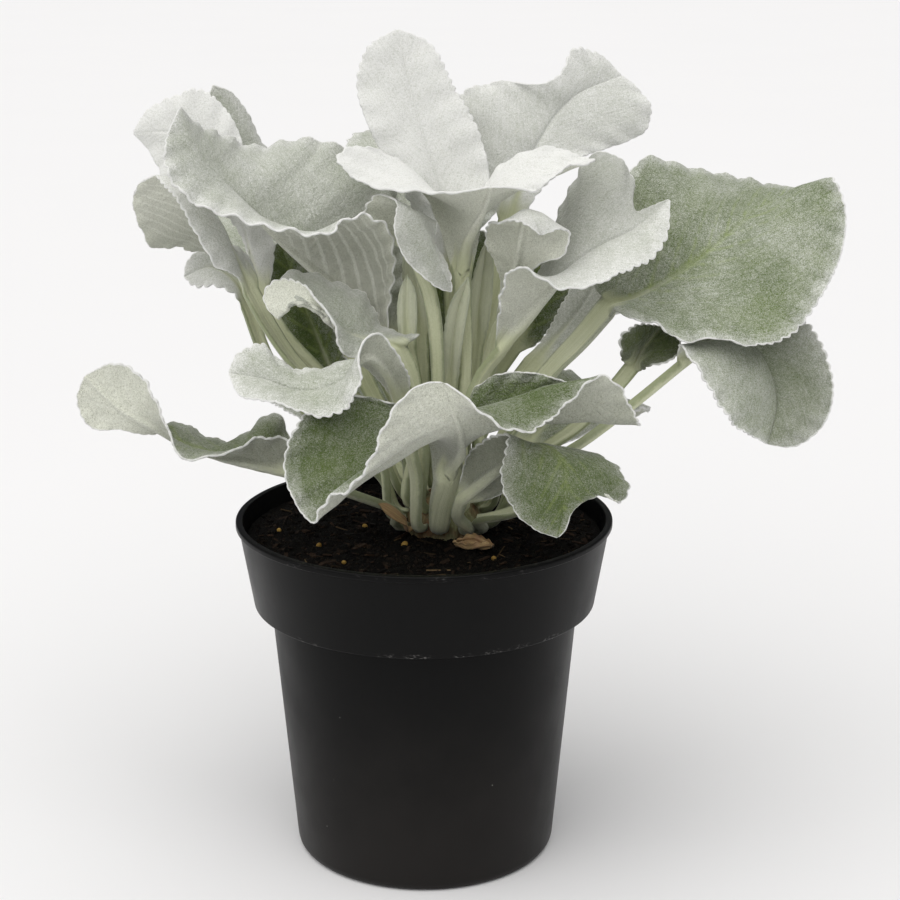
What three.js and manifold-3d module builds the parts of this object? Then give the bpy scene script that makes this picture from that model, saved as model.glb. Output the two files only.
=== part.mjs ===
// An angel wings senecio in a round plastic nursery pot: the pot with its drain holes, the potting
// mix, the short crown that stands in it, every leaf with its stalk, and two dried leaf remains.
// Millimetres, +Z up. The origin is the centre of the pot's foot, and the front faces -Y.
import * as THREE from "three";
import { mergeVertices } from "three/addons/utils/BufferGeometryUtils.js";
import Module from "manifold-3d";

const wasm = await Module();
wasm.setup();

// Pot
const RIM_RADIUS = 95;
const POT_HEIGHT = 176;
const COLLAR_DEPTH = 44;
const COLLAR_FOOT_RADIUS = 86.5;
const BODY_TOP_RADIUS = 78;
const BODY_FOOT_RADIUS = 66.5;
const WALL = 1.8;
const LIP = 1.6;
const FOOT_ROUND = 5;
const FLOOR = 2.4;
const DRAIN_RADIUS = 5;
const DRAIN_CIRCLE = 48;
const DRAINS = 6;
const SLOT_WIDTH = 3.4;
const SLOT_HEIGHT = 5;
const SLOT_DROP = 5.6;
const SLOT_TURN = 6;
const POT_SIDES = 36;

// Potting mix
const SOIL_DROP = 9;
const SOIL_SIDES = 24;
const SOIL_RINGS = 4;
const SOIL_BUMP = 1.2;

// Crown, the short stem that carries the leaves
const CROWN = new THREE.Vector3(10, 2, POT_HEIGHT - SOIL_DROP + 4);
const CROWN_RADIUS = 19;
const STEM_RADIUS = 13;
const STEM_DEPTH = 42;
const GAP = 0.3;

// Leaves
const BLADE = 1;
const STALK_HALF_WIDTH = 4.2;
const FOOT_HALF_WIDTH = 2.7;
const STALK_DEPTH = 3.6;
const RIB_AT_TIP = 0.5;
const STALK_RISE = 6;
const TOOTH = 1.3;
const LAST_STATION = 0.97;

// The dead leaf on the mix
const DEAD_LEAF = new THREE.Vector3(24, -33, POT_HEIGHT - SOIL_DROP + 2.1);
const DEAD_LEAF_TURN = -0.5;

// The front elevation: where it is seen from, on the upright plane through the pot's axis.
const EYE = new THREE.Vector3(0, -953, 480);

const material = (color, roughness, metalness = 0) =>
  new THREE.MeshStandardMaterial({ color, roughness, metalness });
const BLACK_PLASTIC = material(0x262525, 0.42);
const POTTING_MIX = material(0x1b1612, 0.95);
const CROWN_SKIN = material(0x8f8a62, 0.8);
const FELTED_LEAF = material(0xc9cec2, 0.9);
const DRY_LEAF = material(0x9c7c55, 0.9);

const plant = new THREE.Group();
plant.name = "potted_angel_wings_senecio";

function add(name, geometry, skin) {
  const mesh = new THREE.Mesh(geometry, skin);
  mesh.name = name;
  plant.add(mesh);
}

function solid(geometry) {
  const bare = geometry.clone();
  bare.deleteAttribute("normal");
  bare.deleteAttribute("uv");
  const merged = mergeVertices(bare, 1e-4);
  return new wasm.Manifold(
    new wasm.Mesh({
      numProp: 3,
      vertProperties: merged.attributes.position.array,
      triVerts: new Uint32Array(merged.index.array),
    }),
  );
}

function geometryOf(manifold) {
  const mesh = manifold.getMesh();
  const points = new Float32Array(mesh.numVert * 3);
  for (let i = 0; i < mesh.numVert; i++) {
    points.set(mesh.vertProperties.subarray(i * mesh.numProp, i * mesh.numProp + 3), i * 3);
  }
  return new THREE.BufferGeometry()
    .setAttribute("position", new THREE.BufferAttribute(points, 3))
    .setIndex(new THREE.BufferAttribute(mesh.triVerts, 1));
}

// A closed profile of [radius, height] turned about Z.
function turned(profile, sides) {
  const points = profile.map(([r, z]) => new THREE.Vector2(r, z));
  return new THREE.LatheGeometry(points, sides).rotateX(Math.PI / 2);
}

function pot() {
  const collarFoot = POT_HEIGHT - COLLAR_DEPTH;
  const slope = (BODY_TOP_RADIUS - BODY_FOOT_RADIUS) / collarFoot;
  const round = [0, 1, 2, 3].map((k) => {
    const a = (k / 3) * (Math.PI / 2);
    const edge = BODY_FOOT_RADIUS + slope * FOOT_ROUND;
    return [edge - FOOT_ROUND * (1 - Math.sin(a)), FOOT_ROUND * (1 - Math.cos(a))];
  });
  const inFoot = BODY_FOOT_RADIUS + slope * FLOOR - WALL;
  const shell = turned(
    [
      [0, 0],
      ...round,
      [BODY_TOP_RADIUS, collarFoot],
      [COLLAR_FOOT_RADIUS - 1, collarFoot],
      [COLLAR_FOOT_RADIUS, collarFoot + 1.5],
      [RIM_RADIUS - LIP, POT_HEIGHT - 3.5],
      [RIM_RADIUS, POT_HEIGHT - 2.5],
      [RIM_RADIUS, POT_HEIGHT - 0.7],
      [RIM_RADIUS - 0.8, POT_HEIGHT],
      [RIM_RADIUS - LIP - WALL, POT_HEIGHT],
      [COLLAR_FOOT_RADIUS - WALL, collarFoot + WALL],
      [BODY_TOP_RADIUS - WALL, collarFoot + WALL],
      [inFoot, FLOOR],
      [0, FLOOR],
    ],
    POT_SIDES,
  );
  let body = solid(shell);
  const drill = new THREE.CylinderGeometry(DRAIN_RADIUS, DRAIN_RADIUS, 6 * FLOOR, 8);
  drill.rotateX(Math.PI / 2);
  for (let k = 0; k < DRAINS; k++) {
    const a = (k / DRAINS) * 2 * Math.PI;
    const hole = drill.clone().translate(DRAIN_CIRCLE * Math.cos(a), DRAIN_CIRCLE * Math.sin(a), 0);
    body = body.subtract(solid(hole));
  }
  const slot = new THREE.BoxGeometry(3 * RIM_RADIUS, SLOT_WIDTH, SLOT_HEIGHT);
  slot.rotateZ(THREE.MathUtils.degToRad(SLOT_TURN)).translate(0, 0, POT_HEIGHT - SLOT_DROP);
  body = body.subtract(solid(slot));
  add("nursery_pot", geometryOf(body), BLACK_PLASTIC);
}

// Inner radius of the pot at a height.
function innerRadius(z) {
  const collarFoot = POT_HEIGHT - COLLAR_DEPTH;
  if (z < collarFoot + WALL) {
    const share = z / collarFoot;
    return BODY_FOOT_RADIUS + (BODY_TOP_RADIUS - BODY_FOOT_RADIUS) * share - WALL;
  }
  const share = (z - collarFoot) / COLLAR_DEPTH;
  return COLLAR_FOOT_RADIUS + (RIM_RADIUS - LIP - COLLAR_FOOT_RADIUS) * share - WALL;
}

// How far the surface of the mix stands above its level at a place.
function soilRise(x, y) {
  const away = Math.hypot(x - CROWN.x, y - CROWN.y);
  const mound = 1.2 * Math.exp(-((away / 38) ** 2));
  return mound + SOIL_BUMP * Math.sin(0.19 * x + 1) * Math.cos(0.17 * y) * Math.sin(0.09 * (x + y));
}

function soil() {
  const top = POT_HEIGHT - SOIL_DROP;
  const ledge = POT_HEIGHT - COLLAR_DEPTH + WALL;
  const outer = innerRadius(top) - 3 * GAP;
  const rings = Array.from({ length: SOIL_RINGS }, (_, k) => [(outer * (k + 1)) / SOIL_RINGS, top]);
  const profile = [
    [0, FLOOR + GAP],
    [innerRadius(FLOOR) - 3 * GAP, FLOOR + GAP],
    [innerRadius(ledge - 1) - 3 * GAP, ledge + GAP],
    [innerRadius(ledge + 1) - 3 * GAP, ledge + GAP],
    ...rings.reverse(),
    [0, top],
  ];
  const shape = turned(profile, SOIL_SIDES);
  const points = shape.getAttribute("position");
  for (let i = 0; i < points.count; i++) {
    const [x, y, z] = [points.getX(i), points.getY(i), points.getZ(i)];
    const inside = THREE.MathUtils.clamp((outer + 1 - Math.hypot(x, y)) / 12, 0, 1);
    if (z > top - 1) points.setZ(i, z + inside * soilRise(x, y));
  }
  const plug = new THREE.CylinderGeometry(STEM_RADIUS + GAP, STEM_RADIUS + GAP, 2 * STEM_DEPTH, 12);
  plug.rotateX(Math.PI / 2).translate(CROWN.x, CROWN.y, CROWN.z);
  const dome = new THREE.SphereGeometry(CROWN_RADIUS + 2 * GAP, 18, 10).translate(CROWN.x, CROWN.y, CROWN.z);
  add("potting_mix", geometryOf(solid(shape).subtract(solid(plug)).subtract(solid(dome))), POTTING_MIX);
}

function crown() {
  const dome = new THREE.SphereGeometry(CROWN_RADIUS, 18, 10);
  const stem = new THREE.CylinderGeometry(STEM_RADIUS, STEM_RADIUS * 0.7, STEM_DEPTH - 2, 12);
  stem.rotateX(Math.PI / 2).translate(0, 0, -STEM_DEPTH / 2 + 1);
  const body = solid(dome).add(solid(stem)).translate([CROWN.x, CROWN.y, CROWN.z]);
  add("crown", geometryOf(body), CROWN_SKIN);
}

// A point drawn on the front elevation, [right of the axis, height, behind the axis]. The first two
// are read on the upright plane through the axis, and the third moves the point along the sight line.
function drawn([right, up, back]) {
  const onPlane = new THREE.Vector3(right, 0, up);
  return onPlane.sub(EYE).multiplyScalar((back - EYE.y) / -EYE.y).add(EYE);
}

// A smooth curve through points, walked by its length from the point numbered first.
class Track {
  constructor(points, first = 0) {
    const curve = new THREE.CatmullRomCurve3(points, false, "centripetal");
    const from = first / (points.length - 1);
    this.spots = Array.from({ length: 161 }, (_, i) => curve.getPoint(from + ((1 - from) * i) / 160));
    this.run = [0];
    for (let i = 1; i < this.spots.length; i++) {
      this.run.push(this.run[i - 1] + this.spots[i].distanceTo(this.spots[i - 1]));
    }
  }
  at(share) {
    const goal = share * this.run.at(-1);
    let i = this.run.findIndex((r) => r >= goal);
    i = Math.max(1, i < 0 ? this.run.length - 1 : i);
    const part = (goal - this.run[i - 1]) / (this.run[i] - this.run[i - 1]);
    return this.spots[i - 1].clone().lerp(this.spots[i], part);
  }
}

const cross = (a, b) => new THREE.Vector3().crossVectors(a, b);
const minus = (a, b) => new THREE.Vector3().subVectors(a, b);

// The direction in which a leaf's stalk leaves the crown: a bearing from the right, turning to the
// back, and a lean away from upright.
function footWay([bearing, lean]) {
  const [b, l] = [bearing, lean].map(THREE.MathUtils.degToRad);
  return new THREE.Vector3(Math.cos(b) * Math.sin(l), Math.sin(b) * Math.sin(l), Math.cos(l));
}

// The middle surface of a leaf: rows of points from foot to tip, each from the left margin to the
// right one, with the half width of the row.
function leafRows(leaf) {
  const stalk = (leaf.stalk ?? []).map(drawn);
  const rib = leaf.rib.map(drawn);
  const way = footWay(leaf.foot);
  const foot = CROWN.clone().addScaledVector(way, CROWN_RADIUS + 2 * GAP);
  stalk.unshift(foot.clone().addScaledVector(way, STALK_RISE));
  const tip = rib.at(-1);
  const spine = new Track([foot, ...stalk, ...rib], stalk.length + 1);
  const half = leaf.halfWidth ?? STALK_HALF_WIDTH;
  const footHalf = leaf.footHalfWidth ?? FOOT_HALF_WIDTH;
  const cells = leaf.cells ?? 3;
  const bow = leaf.bow ?? [0.06, 0.06];
  const wide = minus(drawn(leaf.right[0]), drawn(leaf.left[0]));
  const base = rib[0];
  const ahead = minus(spine.at(0.02), base).normalize();
  wide.addScaledVector(ahead, -wide.dot(ahead)).normalize();
  const edge = (points, sign) =>
    new Track([base.clone().addScaledVector(wide, sign * half), ...points.map(drawn), tip]);
  const margins = [edge(leaf.left, -1), edge(leaf.right, 1)];
  const rows = [];

  const stalkTrack = new Track([foot, ...stalk, base]);
  const inward = new THREE.Vector3(-way.x, -way.y, 0.4).normalize();
  const steps = leaf.stalkSteps ?? 4;
  for (let i = 0; i < steps; i++) {
    const s = i / steps;
    const ahead = stalkTrack.at(Math.min(1, s + 0.03));
    const along = minus(ahead, stalkTrack.at(Math.max(0, s - 0.03))).normalize();
    const side = cross(along, inward).normalize().multiplyScalar(1 - s).addScaledVector(wide, s);
    side.addScaledVector(along, -side.dot(along)).normalize();
    const width = footHalf + (half - footHalf) * s;
    const middle = stalkTrack.at(s);
    const row = [];
    for (let j = -cells; j <= cells; j++) {
      row.push(middle.clone().addScaledVector(side, (width * j) / cells));
    }
    rows.push({ row, width, share: 0, blade: false });
  }
  const stations = leaf.stations ?? 11;
  for (let i = 0; i <= stations; i++) {
    const u = (i / stations) * LAST_STATION;
    rows.push({ row: bladeRow(spine, margins, u, cells, bow), width: 0, share: u, blade: true });
  }
  for (const r of rows) {
    if (r.blade) {
      const leftReach = r.row[0].distanceTo(r.row[cells]);
      r.width = Math.max(leftReach, r.row[2 * cells].distanceTo(r.row[cells]));
    }
  }
  const teeth = [];
  for (let i = 0; i < stations && !leaf.smooth; i++) {
    const u = ((i + 0.5) / stations) * LAST_STATION;
    const size = TOOTH * (leaf.teeth ?? 1) * THREE.MathUtils.clamp(Math.min(8 * u - 0.6, 9 * (1 - u)), 0, 1);
    const between = bladeRow(spine, margins, u, cells, bow);
    teeth.push([
      between[0].clone().addScaledVector(minus(between[0], between[1]).normalize(), size),
      between.at(-1).clone().addScaledVector(minus(between.at(-1), between.at(-2)).normalize(), size),
    ]);
  }
  return { rows, teeth, half, cells, steps };
}

// One row of the blade, bowed between rib and margin.
function bladeRow(spine, margins, u, cells, bow) {
  const middle = spine.at(u);
  const along = minus(spine.at(Math.min(1, u + 0.04)), spine.at(Math.max(0, u - 0.04))).normalize();
  const ends = margins.map((margin) => margin.at(u));
  const row = [];
  for (let j = -cells; j <= cells; j++) {
    const h = Math.abs(j) / cells;
    const k = j < 0 ? 0 : 1;
    const chord = minus(ends[k], middle);
    const up = cross(chord, along).multiplyScalar(j < 0 ? -1 : 1);
    const lift = bow[k] * 4 * h * (1 - h);
    row.push(middle.clone().addScaledVector(chord, h).addScaledVector(up, lift));
  }
  return row;
}

// A leaf as one closed solid: the rows thickened to both sides, with the rib's ridge below.
function leafGeometry(leaf) {
  const { rows, teeth, half, cells, steps } = leafRows(leaf);
  const across = 2 * cells;
  const points = [];
  const faces = [];
  const put = (p) => points.push(p.x, p.y, p.z) / 3 - 1;
  const normalAt = (i, j) => {
    const [a, b] = [rows[Math.max(0, i - 1)].row[j], rows[Math.min(rows.length - 1, i + 1)].row[j]];
    const [c, d] = [rows[i].row[Math.max(0, j - 1)], rows[i].row[Math.min(across, j + 1)]];
    return cross(minus(d, c), minus(b, a)).normalize();
  };
  const thick = leaf.blade ?? BLADE;
  const top = [];
  const under = [];
  rows.forEach(({ row, width, share }, i) => {
    top.push([]);
    under.push([]);
    row.forEach((p, j) => {
      const off = (Math.abs(j - cells) / cells) * width;
      const ridge = (leaf.depth ?? STALK_DEPTH) * (1 - share) + RIB_AT_TIP * share;
      const drop = ridge * Math.sqrt(Math.max(0, 1 - (off / Math.min(half, width)) ** 2));
      const normal = normalAt(i, j);
      top[i].push(put(p.clone().addScaledVector(normal, thick / 2)));
      under[i].push(put(p.clone().addScaledVector(normal, -thick / 2 - drop)));
    });
  });
  const toothAt = teeth.map((pair, i) =>
    pair.map((p, k) => {
      const j = k ? across : 0;
      const normal = normalAt(steps + i, j).add(normalAt(steps + i + 1, j)).normalize();
      return [
        put(p.clone().addScaledVector(normal, thick / 2)),
        put(p.clone().addScaledVector(normal, -thick / 2)),
      ];
    }),
  );
  const quad = (a, b, c, d) => faces.push(a, b, c, a, c, d);
  for (let i = 0; i + 1 < rows.length; i++) {
    const tooth = toothAt[i - steps];
    for (let j = 0; j < across; j++) {
      quad(top[i][j], top[i][j + 1], top[i + 1][j + 1], top[i + 1][j]);
      faces.push(under[i][j], under[i + 1][j + 1], under[i][j + 1]);
      faces.push(under[i][j], under[i + 1][j], under[i + 1][j + 1]);
    }
    if (tooth) {
      const [[leftTop, leftUnder], [rightTop, rightUnder]] = tooth;
      faces.push(top[i][0], top[i + 1][0], leftTop, under[i][0], leftUnder, under[i + 1][0]);
      quad(top[i][0], leftTop, leftUnder, under[i][0]);
      quad(leftTop, top[i + 1][0], under[i + 1][0], leftUnder);
      faces.push(top[i][across], rightTop, top[i + 1][across]);
      faces.push(under[i][across], under[i + 1][across], rightUnder);
      quad(top[i][across], under[i][across], rightUnder, rightTop);
      quad(rightTop, rightUnder, under[i + 1][across], top[i + 1][across]);
    } else {
      quad(top[i][0], top[i + 1][0], under[i + 1][0], under[i][0]);
      quad(top[i][across], under[i][across], under[i + 1][across], top[i + 1][across]);
    }
  }
  const last = rows.length - 1;
  for (let j = 0; j < across; j++) {
    quad(top[0][j], under[0][j], under[0][j + 1], top[0][j + 1]);
    quad(top[last][j], top[last][j + 1], under[last][j + 1], under[last][j]);
  }
  return new THREE.BufferGeometry()
    .setAttribute("position", new THREE.BufferAttribute(new Float32Array(points), 3))
    .setIndex(faces);
}

// The dead leaf that lies on the mix: a small blade rolled up about its length.
function curledLeaf() {
  const [length, width, around, along] = [20, 13, 8, 6];
  const points = [];
  const faces = [];
  const at = (i, j, side) => ((i * (around + 1) + j) * 2 + side);
  for (let i = 0; i <= along; i++) {
    const s = i / along;
    const span = width * (0.35 + 0.65 * Math.sin(Math.PI * (0.12 + 0.76 * s)));
    for (let j = 0; j <= around; j++) {
      const turn = (j / around - 0.5) * 3.9 + 0.5 * Math.sin(4 * s);
      const radius = span / 3.9 + 0.5 * Math.sin(5 * s + 2 * turn);
      for (const side of [0.5, -0.5]) {
        const r = radius + side * BLADE;
        points.push((s - 0.5) * length, r * Math.sin(turn), radius - r * Math.cos(turn) + 1.5 * s * s);
      }
    }
  }
  const quad = (a, b, c, d) => faces.push(a, b, c, a, c, d);
  for (let i = 0; i < along; i++) {
    for (let j = 0; j < around; j++) {
      quad(at(i, j, 0), at(i, j + 1, 0), at(i + 1, j + 1, 0), at(i + 1, j, 0));
      quad(at(i, j, 1), at(i + 1, j, 1), at(i + 1, j + 1, 1), at(i, j + 1, 1));
    }
    quad(at(i, 0, 0), at(i + 1, 0, 0), at(i + 1, 0, 1), at(i, 0, 1));
    quad(at(i, around, 0), at(i, around, 1), at(i + 1, around, 1), at(i + 1, around, 0));
  }
  for (let j = 0; j < around; j++) {
    quad(at(0, j, 0), at(0, j, 1), at(0, j + 1, 1), at(0, j + 1, 0));
    quad(at(along, j, 0), at(along, j + 1, 0), at(along, j + 1, 1), at(along, j, 1));
  }
  const shape = new THREE.BufferGeometry()
    .setAttribute("position", new THREE.BufferAttribute(new Float32Array(points), 3))
    .setIndex(faces);
  shape.rotateZ(DEAD_LEAF_TURN).translate(DEAD_LEAF.x, DEAD_LEAF.y, DEAD_LEAF.z);
  add("dead_leaf", shape, DRY_LEAF);
}

// Every leaf, its points drawn on the front elevation: the stalk from the crown, the rib from the
// foot of the blade to the tip, and the margins left and right of the rib, seen on the upper face
// with the tip upwards. The drawing's third number is the depth behind the pot's axis.
const LEAVES = {
  leaf_spoon: {
    foot: [90, 14],
    stalk: [[12, 210, 6], [15, 255, 6]],
    rib: [[14, 298, 5], [8, 338, 8], [0, 366, 14], [-7, 392, 20], [-12, 417, 24]],
    left: [[3, 318, 4], [-12, 345, 4], [-26, 371, 10], [-31, 391, 16], [-25, 408, 21]],
    right: [[24, 316, 5], [32, 343, 6], [27, 367, 12], [14, 390, 18], [3, 410, 22]],
    halfWidth: 4.5,
    stations: 11,
  },
  leaf_cup: {
    foot: [-30, 24],
    stalk: [[18, 215, -6], [20, 258, -5]],
    rib: [[19, 298, -4], [21, 312, -8], [25, 322, -16], [30, 332, -26], [33, 342, -38]],
    left: [
      [27, 318, 2], [32, 345, 4], [46, 357, 0], [61, 361, -6], [74, 357, -14], [82, 354, -20],
      [68, 351, -28], [54, 340, -32], [44, 341, -36],
    ],
    right: [
      [8, 322, 2], [0, 340, 2], [-16, 357, -2], [-34, 361, -8], [-41, 355, -14], [-30, 345, -22],
      [-12, 340, -30], [10, 339, -36],
    ],
    halfWidth: 4.5,
    cells: 4,
    stations: 13,
  },
  leaf_back_right: {
    foot: [50, 51],
    stalk: [[20, 215, 14], [30, 265, 22], [38, 305, 28]],
    rib: [[42, 325, 32], [48, 345, 36], [57, 366, 44], [72, 385, 56], [95, 395, 66]],
    left: [
      [32, 340, 32], [20, 362, 34], [17, 384, 42], [36, 392, 50], [56, 391, 48], [66, 396, 54],
      [72, 407, 60], [84, 404, 66],
    ],
    right: [[56, 340, 32], [74, 355, 42], [90, 361, 52], [106, 368, 58], [109, 377, 60], [103, 388, 64]],
    halfWidth: 6,
    stations: 12,
  },
  leaf_mid_right: {
    foot: [-60, 50],
    stalk: [[16, 208, -18], [21, 232, -20], [28, 249, -20]],
    rib: [
      [37, 261, -20], [49, 275, -18], [60, 289, -19], [72, 303, -20], [86, 313, -20], [102, 321, -20],
      [120, 336, -20],
    ],
    left: [
      [44, 271, -14], [54, 290, -5], [60, 312, 4], [70, 338, 8], [80, 357, 6], [92, 357, 2],
      [101, 344, -4], [101, 330, -12],
    ],
    right: [
      [36, 271, -25], [38, 284, -31], [41, 299, -37], [46, 302, -40], [56, 297.5, -41],
      [68, 291.5, -42], [84, 294, -42], [98, 300, -38], [110, 306, -34], [118, 317, -28],
    ],
    cells: 4,
    stations: 13,
  },
  leaf_big_right: {
    foot: [18, 72],
    stalk: [[37, 213, -1], [50, 236, 1], [63, 252, 2], [77, 267, 4]],
    rib: [[90, 283, 6], [105, 288, 2], [124, 299, -2], [142, 313, -1], [160, 329, 5], [181, 341, 14]],
    left: [
      [84, 293, 15], [86, 311, 20], [95, 338, 28], [106, 355, 32], [125, 352, 34], [148, 347, 34],
      [167, 343, 26],
    ],
    right: [
      [95, 280, -7], [103, 276.5, -16], [114, 274, -22], [128, 265, -30], [145, 267, -33],
      [162, 263, -36], [180, 268, -34], [194, 286, -28], [204, 308, -20], [205, 330, -10],
      [197, 346, 0], [188, 342, 8],
    ],
    halfWidth: 8.5,
    stations: 14,
  },
  leaf_droop_right: {
    foot: [-24, 80],
    stalk: [[50, 196, -14], [80, 216, -16], [105, 236, -16]],
    rib: [
      [126, 254, -16], [146, 266, -12], [163, 263, -13], [173, 248, -16], [176, 232, -19],
      [172, 212, -27],
    ],
    left: [
      [136, 266, -4], [152, 280, 4], [172, 282, 0], [188, 274, -10], [199, 258, -20], [204, 238, -28],
      [200, 222, -32], [186, 211, -31],
    ],
    right: [
      [126, 264, -26], [133, 256, -34], [140, 246, -38], [148, 233, -40], [156, 222, -38],
      [166, 216, -33],
    ],
    halfWidth: 4,
    stations: 13,
  },
  leaf_curl_right: {
    foot: [-10, 50],
    stalk: [[26, 225, 2], [33, 255, 3]],
    rib: [
      [38, 272, 1], [43, 290, -8], [46, 305, -18], [48, 318, -24], [50, 331, -29], [53, 327, -38],
      [57, 318, -41],
    ],
    left: [[47, 290, -12], [57, 304, -26], [68, 308, -31], [71, 317, -33], [67, 322, -38], [62, 320, -41]],
    right: [
      [37, 286, -2], [38, 297, -5], [35, 306, -8], [30.5, 314, -10], [32, 323, -15], [37, 324, -26],
      [44, 326, -36], [51, 323, -40],
    ],
    halfWidth: 4.5,
    stations: 11,
  },
  leaf_tongue: {
    foot: [-94, 48],
    stalk: [[6, 212, -17], [7, 250, -19], [4, 285, -19]],
    rib: [[-4, 310, -18], [-10, 330, -21], [-5, 331, -28], [3, 315, -33], [9, 301, -35], [14, 290, -35]],
    left: [[4, 318, -17], [6, 324, -20], [6, 315, -26], [10, 306, -31], [13, 298, -34]],
    right: [
      [-16, 316, -15], [-28, 329, -17], [-22, 338, -21], [-13, 335, -27], [-14, 321, -33],
      [-9, 307, -37], [0, 298, -39], [8, 292, -38],
    ],
    halfWidth: 4,
    stations: 11,
  },
  leaf_big_left: {
    foot: [-154, 50],
    stalk: [[-3, 215, -4], [-9, 245, -2]],
    rib: [
      [-14, 264, 1], [-30, 282, 3], [-50, 299, 0], [-72, 319, -8], [-90, 339, -15], [-106, 356, -20],
      [-116, 381, -20],
    ],
    left: [
      [-17, 283, -6], [-14, 303, -14], [-17, 322, -24], [-32, 329, -34], [-50, 318, -42],
      [-68, 322, -44], [-88, 326, -42], [-108, 333, -40], [-122, 347, -37], [-123, 363, -31],
    ],
    right: [
      [-8, 290, 10], [-8, 320, 20], [-20, 350, 27], [-40, 362, 29], [-60, 365, 27], [-78, 361, 22],
      [-95, 366, 11], [-108, 372, -4],
    ],
    halfWidth: 7,
    stations: 14,
  },
  leaf_left_shade: {
    foot: [-177, 78],
    stalk: [[-20, 207, -4], [-44, 236, -6], [-63, 255.5, -7], [-75, 273.5, -7]],
    rib: [
      [-84, 291, -7], [-90, 306, -7], [-98, 326, -8], [-109, 339, -8], [-119, 346, -6],
      [-129, 348, -2],
    ],
    left: [
      [-90, 297, -11], [-96, 301, -17], [-101, 303, -21], [-106, 312, -23], [-113, 324, -22],
      [-119, 337, -18],
    ],
    right: [
      [-81, 298, -2], [-86, 308, 5], [-95, 313, 13], [-107, 311, 21], [-120, 313, 28], [-131, 312, 30],
      [-137, 322, 26], [-140, 335, 16], [-137, 343, 6],
    ],
    halfWidth: 5.2,
    stations: 10,
  },
  leaf_top_left: {
    foot: [178, 50],
    stalk: [[-24, 220, 12], [-50, 248, 10], [-70, 270, 9]],
    rib: [
      [-80, 289, 11], [-84, 306, 14], [-87, 322, 16], [-94, 341, 20], [-105, 358, 26], [-120, 368, 30],
      [-139, 368, 34],
    ],
    left: [
      [-84, 301, 14], [-88, 318, 18], [-97, 331, 19], [-110, 338, 20], [-124, 345, 24],
      [-128, 354, 30], [-133, 362, 34],
    ],
    right: [
      [-74, 300, 14], [-73, 316, 16], [-77, 336, 18], [-84, 352, 20], [-88, 368, 24], [-95, 380, 28],
      [-106, 388, 32], [-119, 384, 36], [-131, 379, 36],
    ],
    halfWidth: 4.5,
    stations: 10,
  },
  leaf_back_left: {
    foot: [118, 50],
    stalk: [[-6, 216, 30], [-28, 265, 42], [-48, 305, 48]],
    rib: [[-58, 324, 50], [-70, 346, 54], [-83, 368, 58], [-92, 382, 60], [-100, 391, 60]],
    left: [[-68, 328, 48], [-86, 340, 46], [-98, 358, 48], [-104, 376, 54]],
    right: [[-58, 340, 56], [-66, 354, 60], [-77, 363, 62], [-84, 377, 64], [-91, 387, 63]],
    halfWidth: 5,
    stations: 8,
  },
  leaf_left_back: {
    foot: [158, 78],
    stalk: [[-20, 196, 18], [-50, 222, 28], [-76, 256, 34]],
    rib: [[-86, 284, 37], [-93, 297, 39], [-104, 303, 40], [-117, 298, 38]],
    left: [[-92, 289, 33], [-101, 294, 32], [-111, 294, 34]],
    right: [[-83, 297, 42], [-90, 310, 46], [-105, 313, 45], [-115, 305, 41]],
    halfWidth: 4,
    stations: 7,
    smooth: true,
    cells: 2,
  },
  leaf_inner_left: {
    foot: [148, 50],
    stalk: [[-8, 206, 20], [-24, 224, 27]],
    rib: [[-38, 239, 31], [-46, 252, 32], [-52, 267, 34], [-58, 281, 36], [-64, 298, 38], [-70, 316, 38]],
    left: [[-50, 246, 29], [-61, 257, 30], [-71, 275, 32], [-77, 292, 34], [-78, 308, 36]],
    right: [[-36, 250, 31], [-41, 262, 31], [-45, 274, 32], [-50, 287, 33], [-58, 305, 35]],
    halfWidth: 5,
    stations: 8,
    smooth: true,
  },
  leaf_wave_upper: {
    foot: [-125, 50],
    stalk: [[1, 212, -24], [-2, 234, -28], [-6, 250, -29]],
    rib: [
      [-11, 261, -30], [-20, 266, -31], [-32, 268, -33], [-44, 274, -37], [-54, 282, -42],
      [-62, 284.5, -43], [-68, 281, -42], [-72, 277, -40],
    ],
    left: [
      [-16, 259, -34], [-27, 257, -39], [-40, 260, -43], [-45, 275, -44], [-54, 289, -40],
      [-62, 295.5, -36], [-71, 296.5, -34], [-78, 290, -35], [-77, 283, -38],
    ],
    right: [
      [-2, 269, -27], [-10, 269, -22], [-20, 273, -19], [-28, 288, -15], [-42, 295, -15],
      [-57, 300, -16], [-67, 299, -20], [-73, 293, -27], [-74, 285, -34],
    ],
    halfWidth: 4,
    stations: 14,
  },
  leaf_wave_lower: {
    foot: [-122, 76],
    stalk: [[-4, 198, -26], [-9, 218, -31]],
    rib: [
      [-12, 234, -36], [-19, 251, -45], [-29, 257, -52], [-44, 244, -56], [-62, 241, -56],
      [-80, 247, -53], [-97, 250, -51],
    ],
    left: [
      [-7, 246, -44], [-13, 259, -50], [-24, 270, -56], [-32, 260, -62], [-31, 246, -67],
      [-40, 231, -69], [-54, 228, -69], [-74, 235, -66], [-91, 238, -60],
    ],
    right: [
      [-16, 236, -36], [-24, 248, -41], [-35, 255, -45], [-50, 252, -46], [-68, 254, -45],
      [-80, 264, -44], [-92, 259, -47],
    ],
    halfWidth: 4,
    stations: 13,
  },
  leaf_front: {
    foot: [-96, 76],
    stalk: [[9, 182, -30]],
    rib: [[12, 196, -38], [18, 207, -52], [18, 218, -65], [14, 231, -74], [10, 245, -78]],
    left: [
      [20, 224, -40], [31, 246, -46], [50, 250, -48], [72, 244, -52], [92, 231, -50], [107, 222, -58],
      [101, 236, -62], [97, 243, -65], [86, 248, -69], [72, 234, -77], [52, 220, -85], [34, 224, -87],
      [22, 236, -84],
    ],
    right: [
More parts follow.
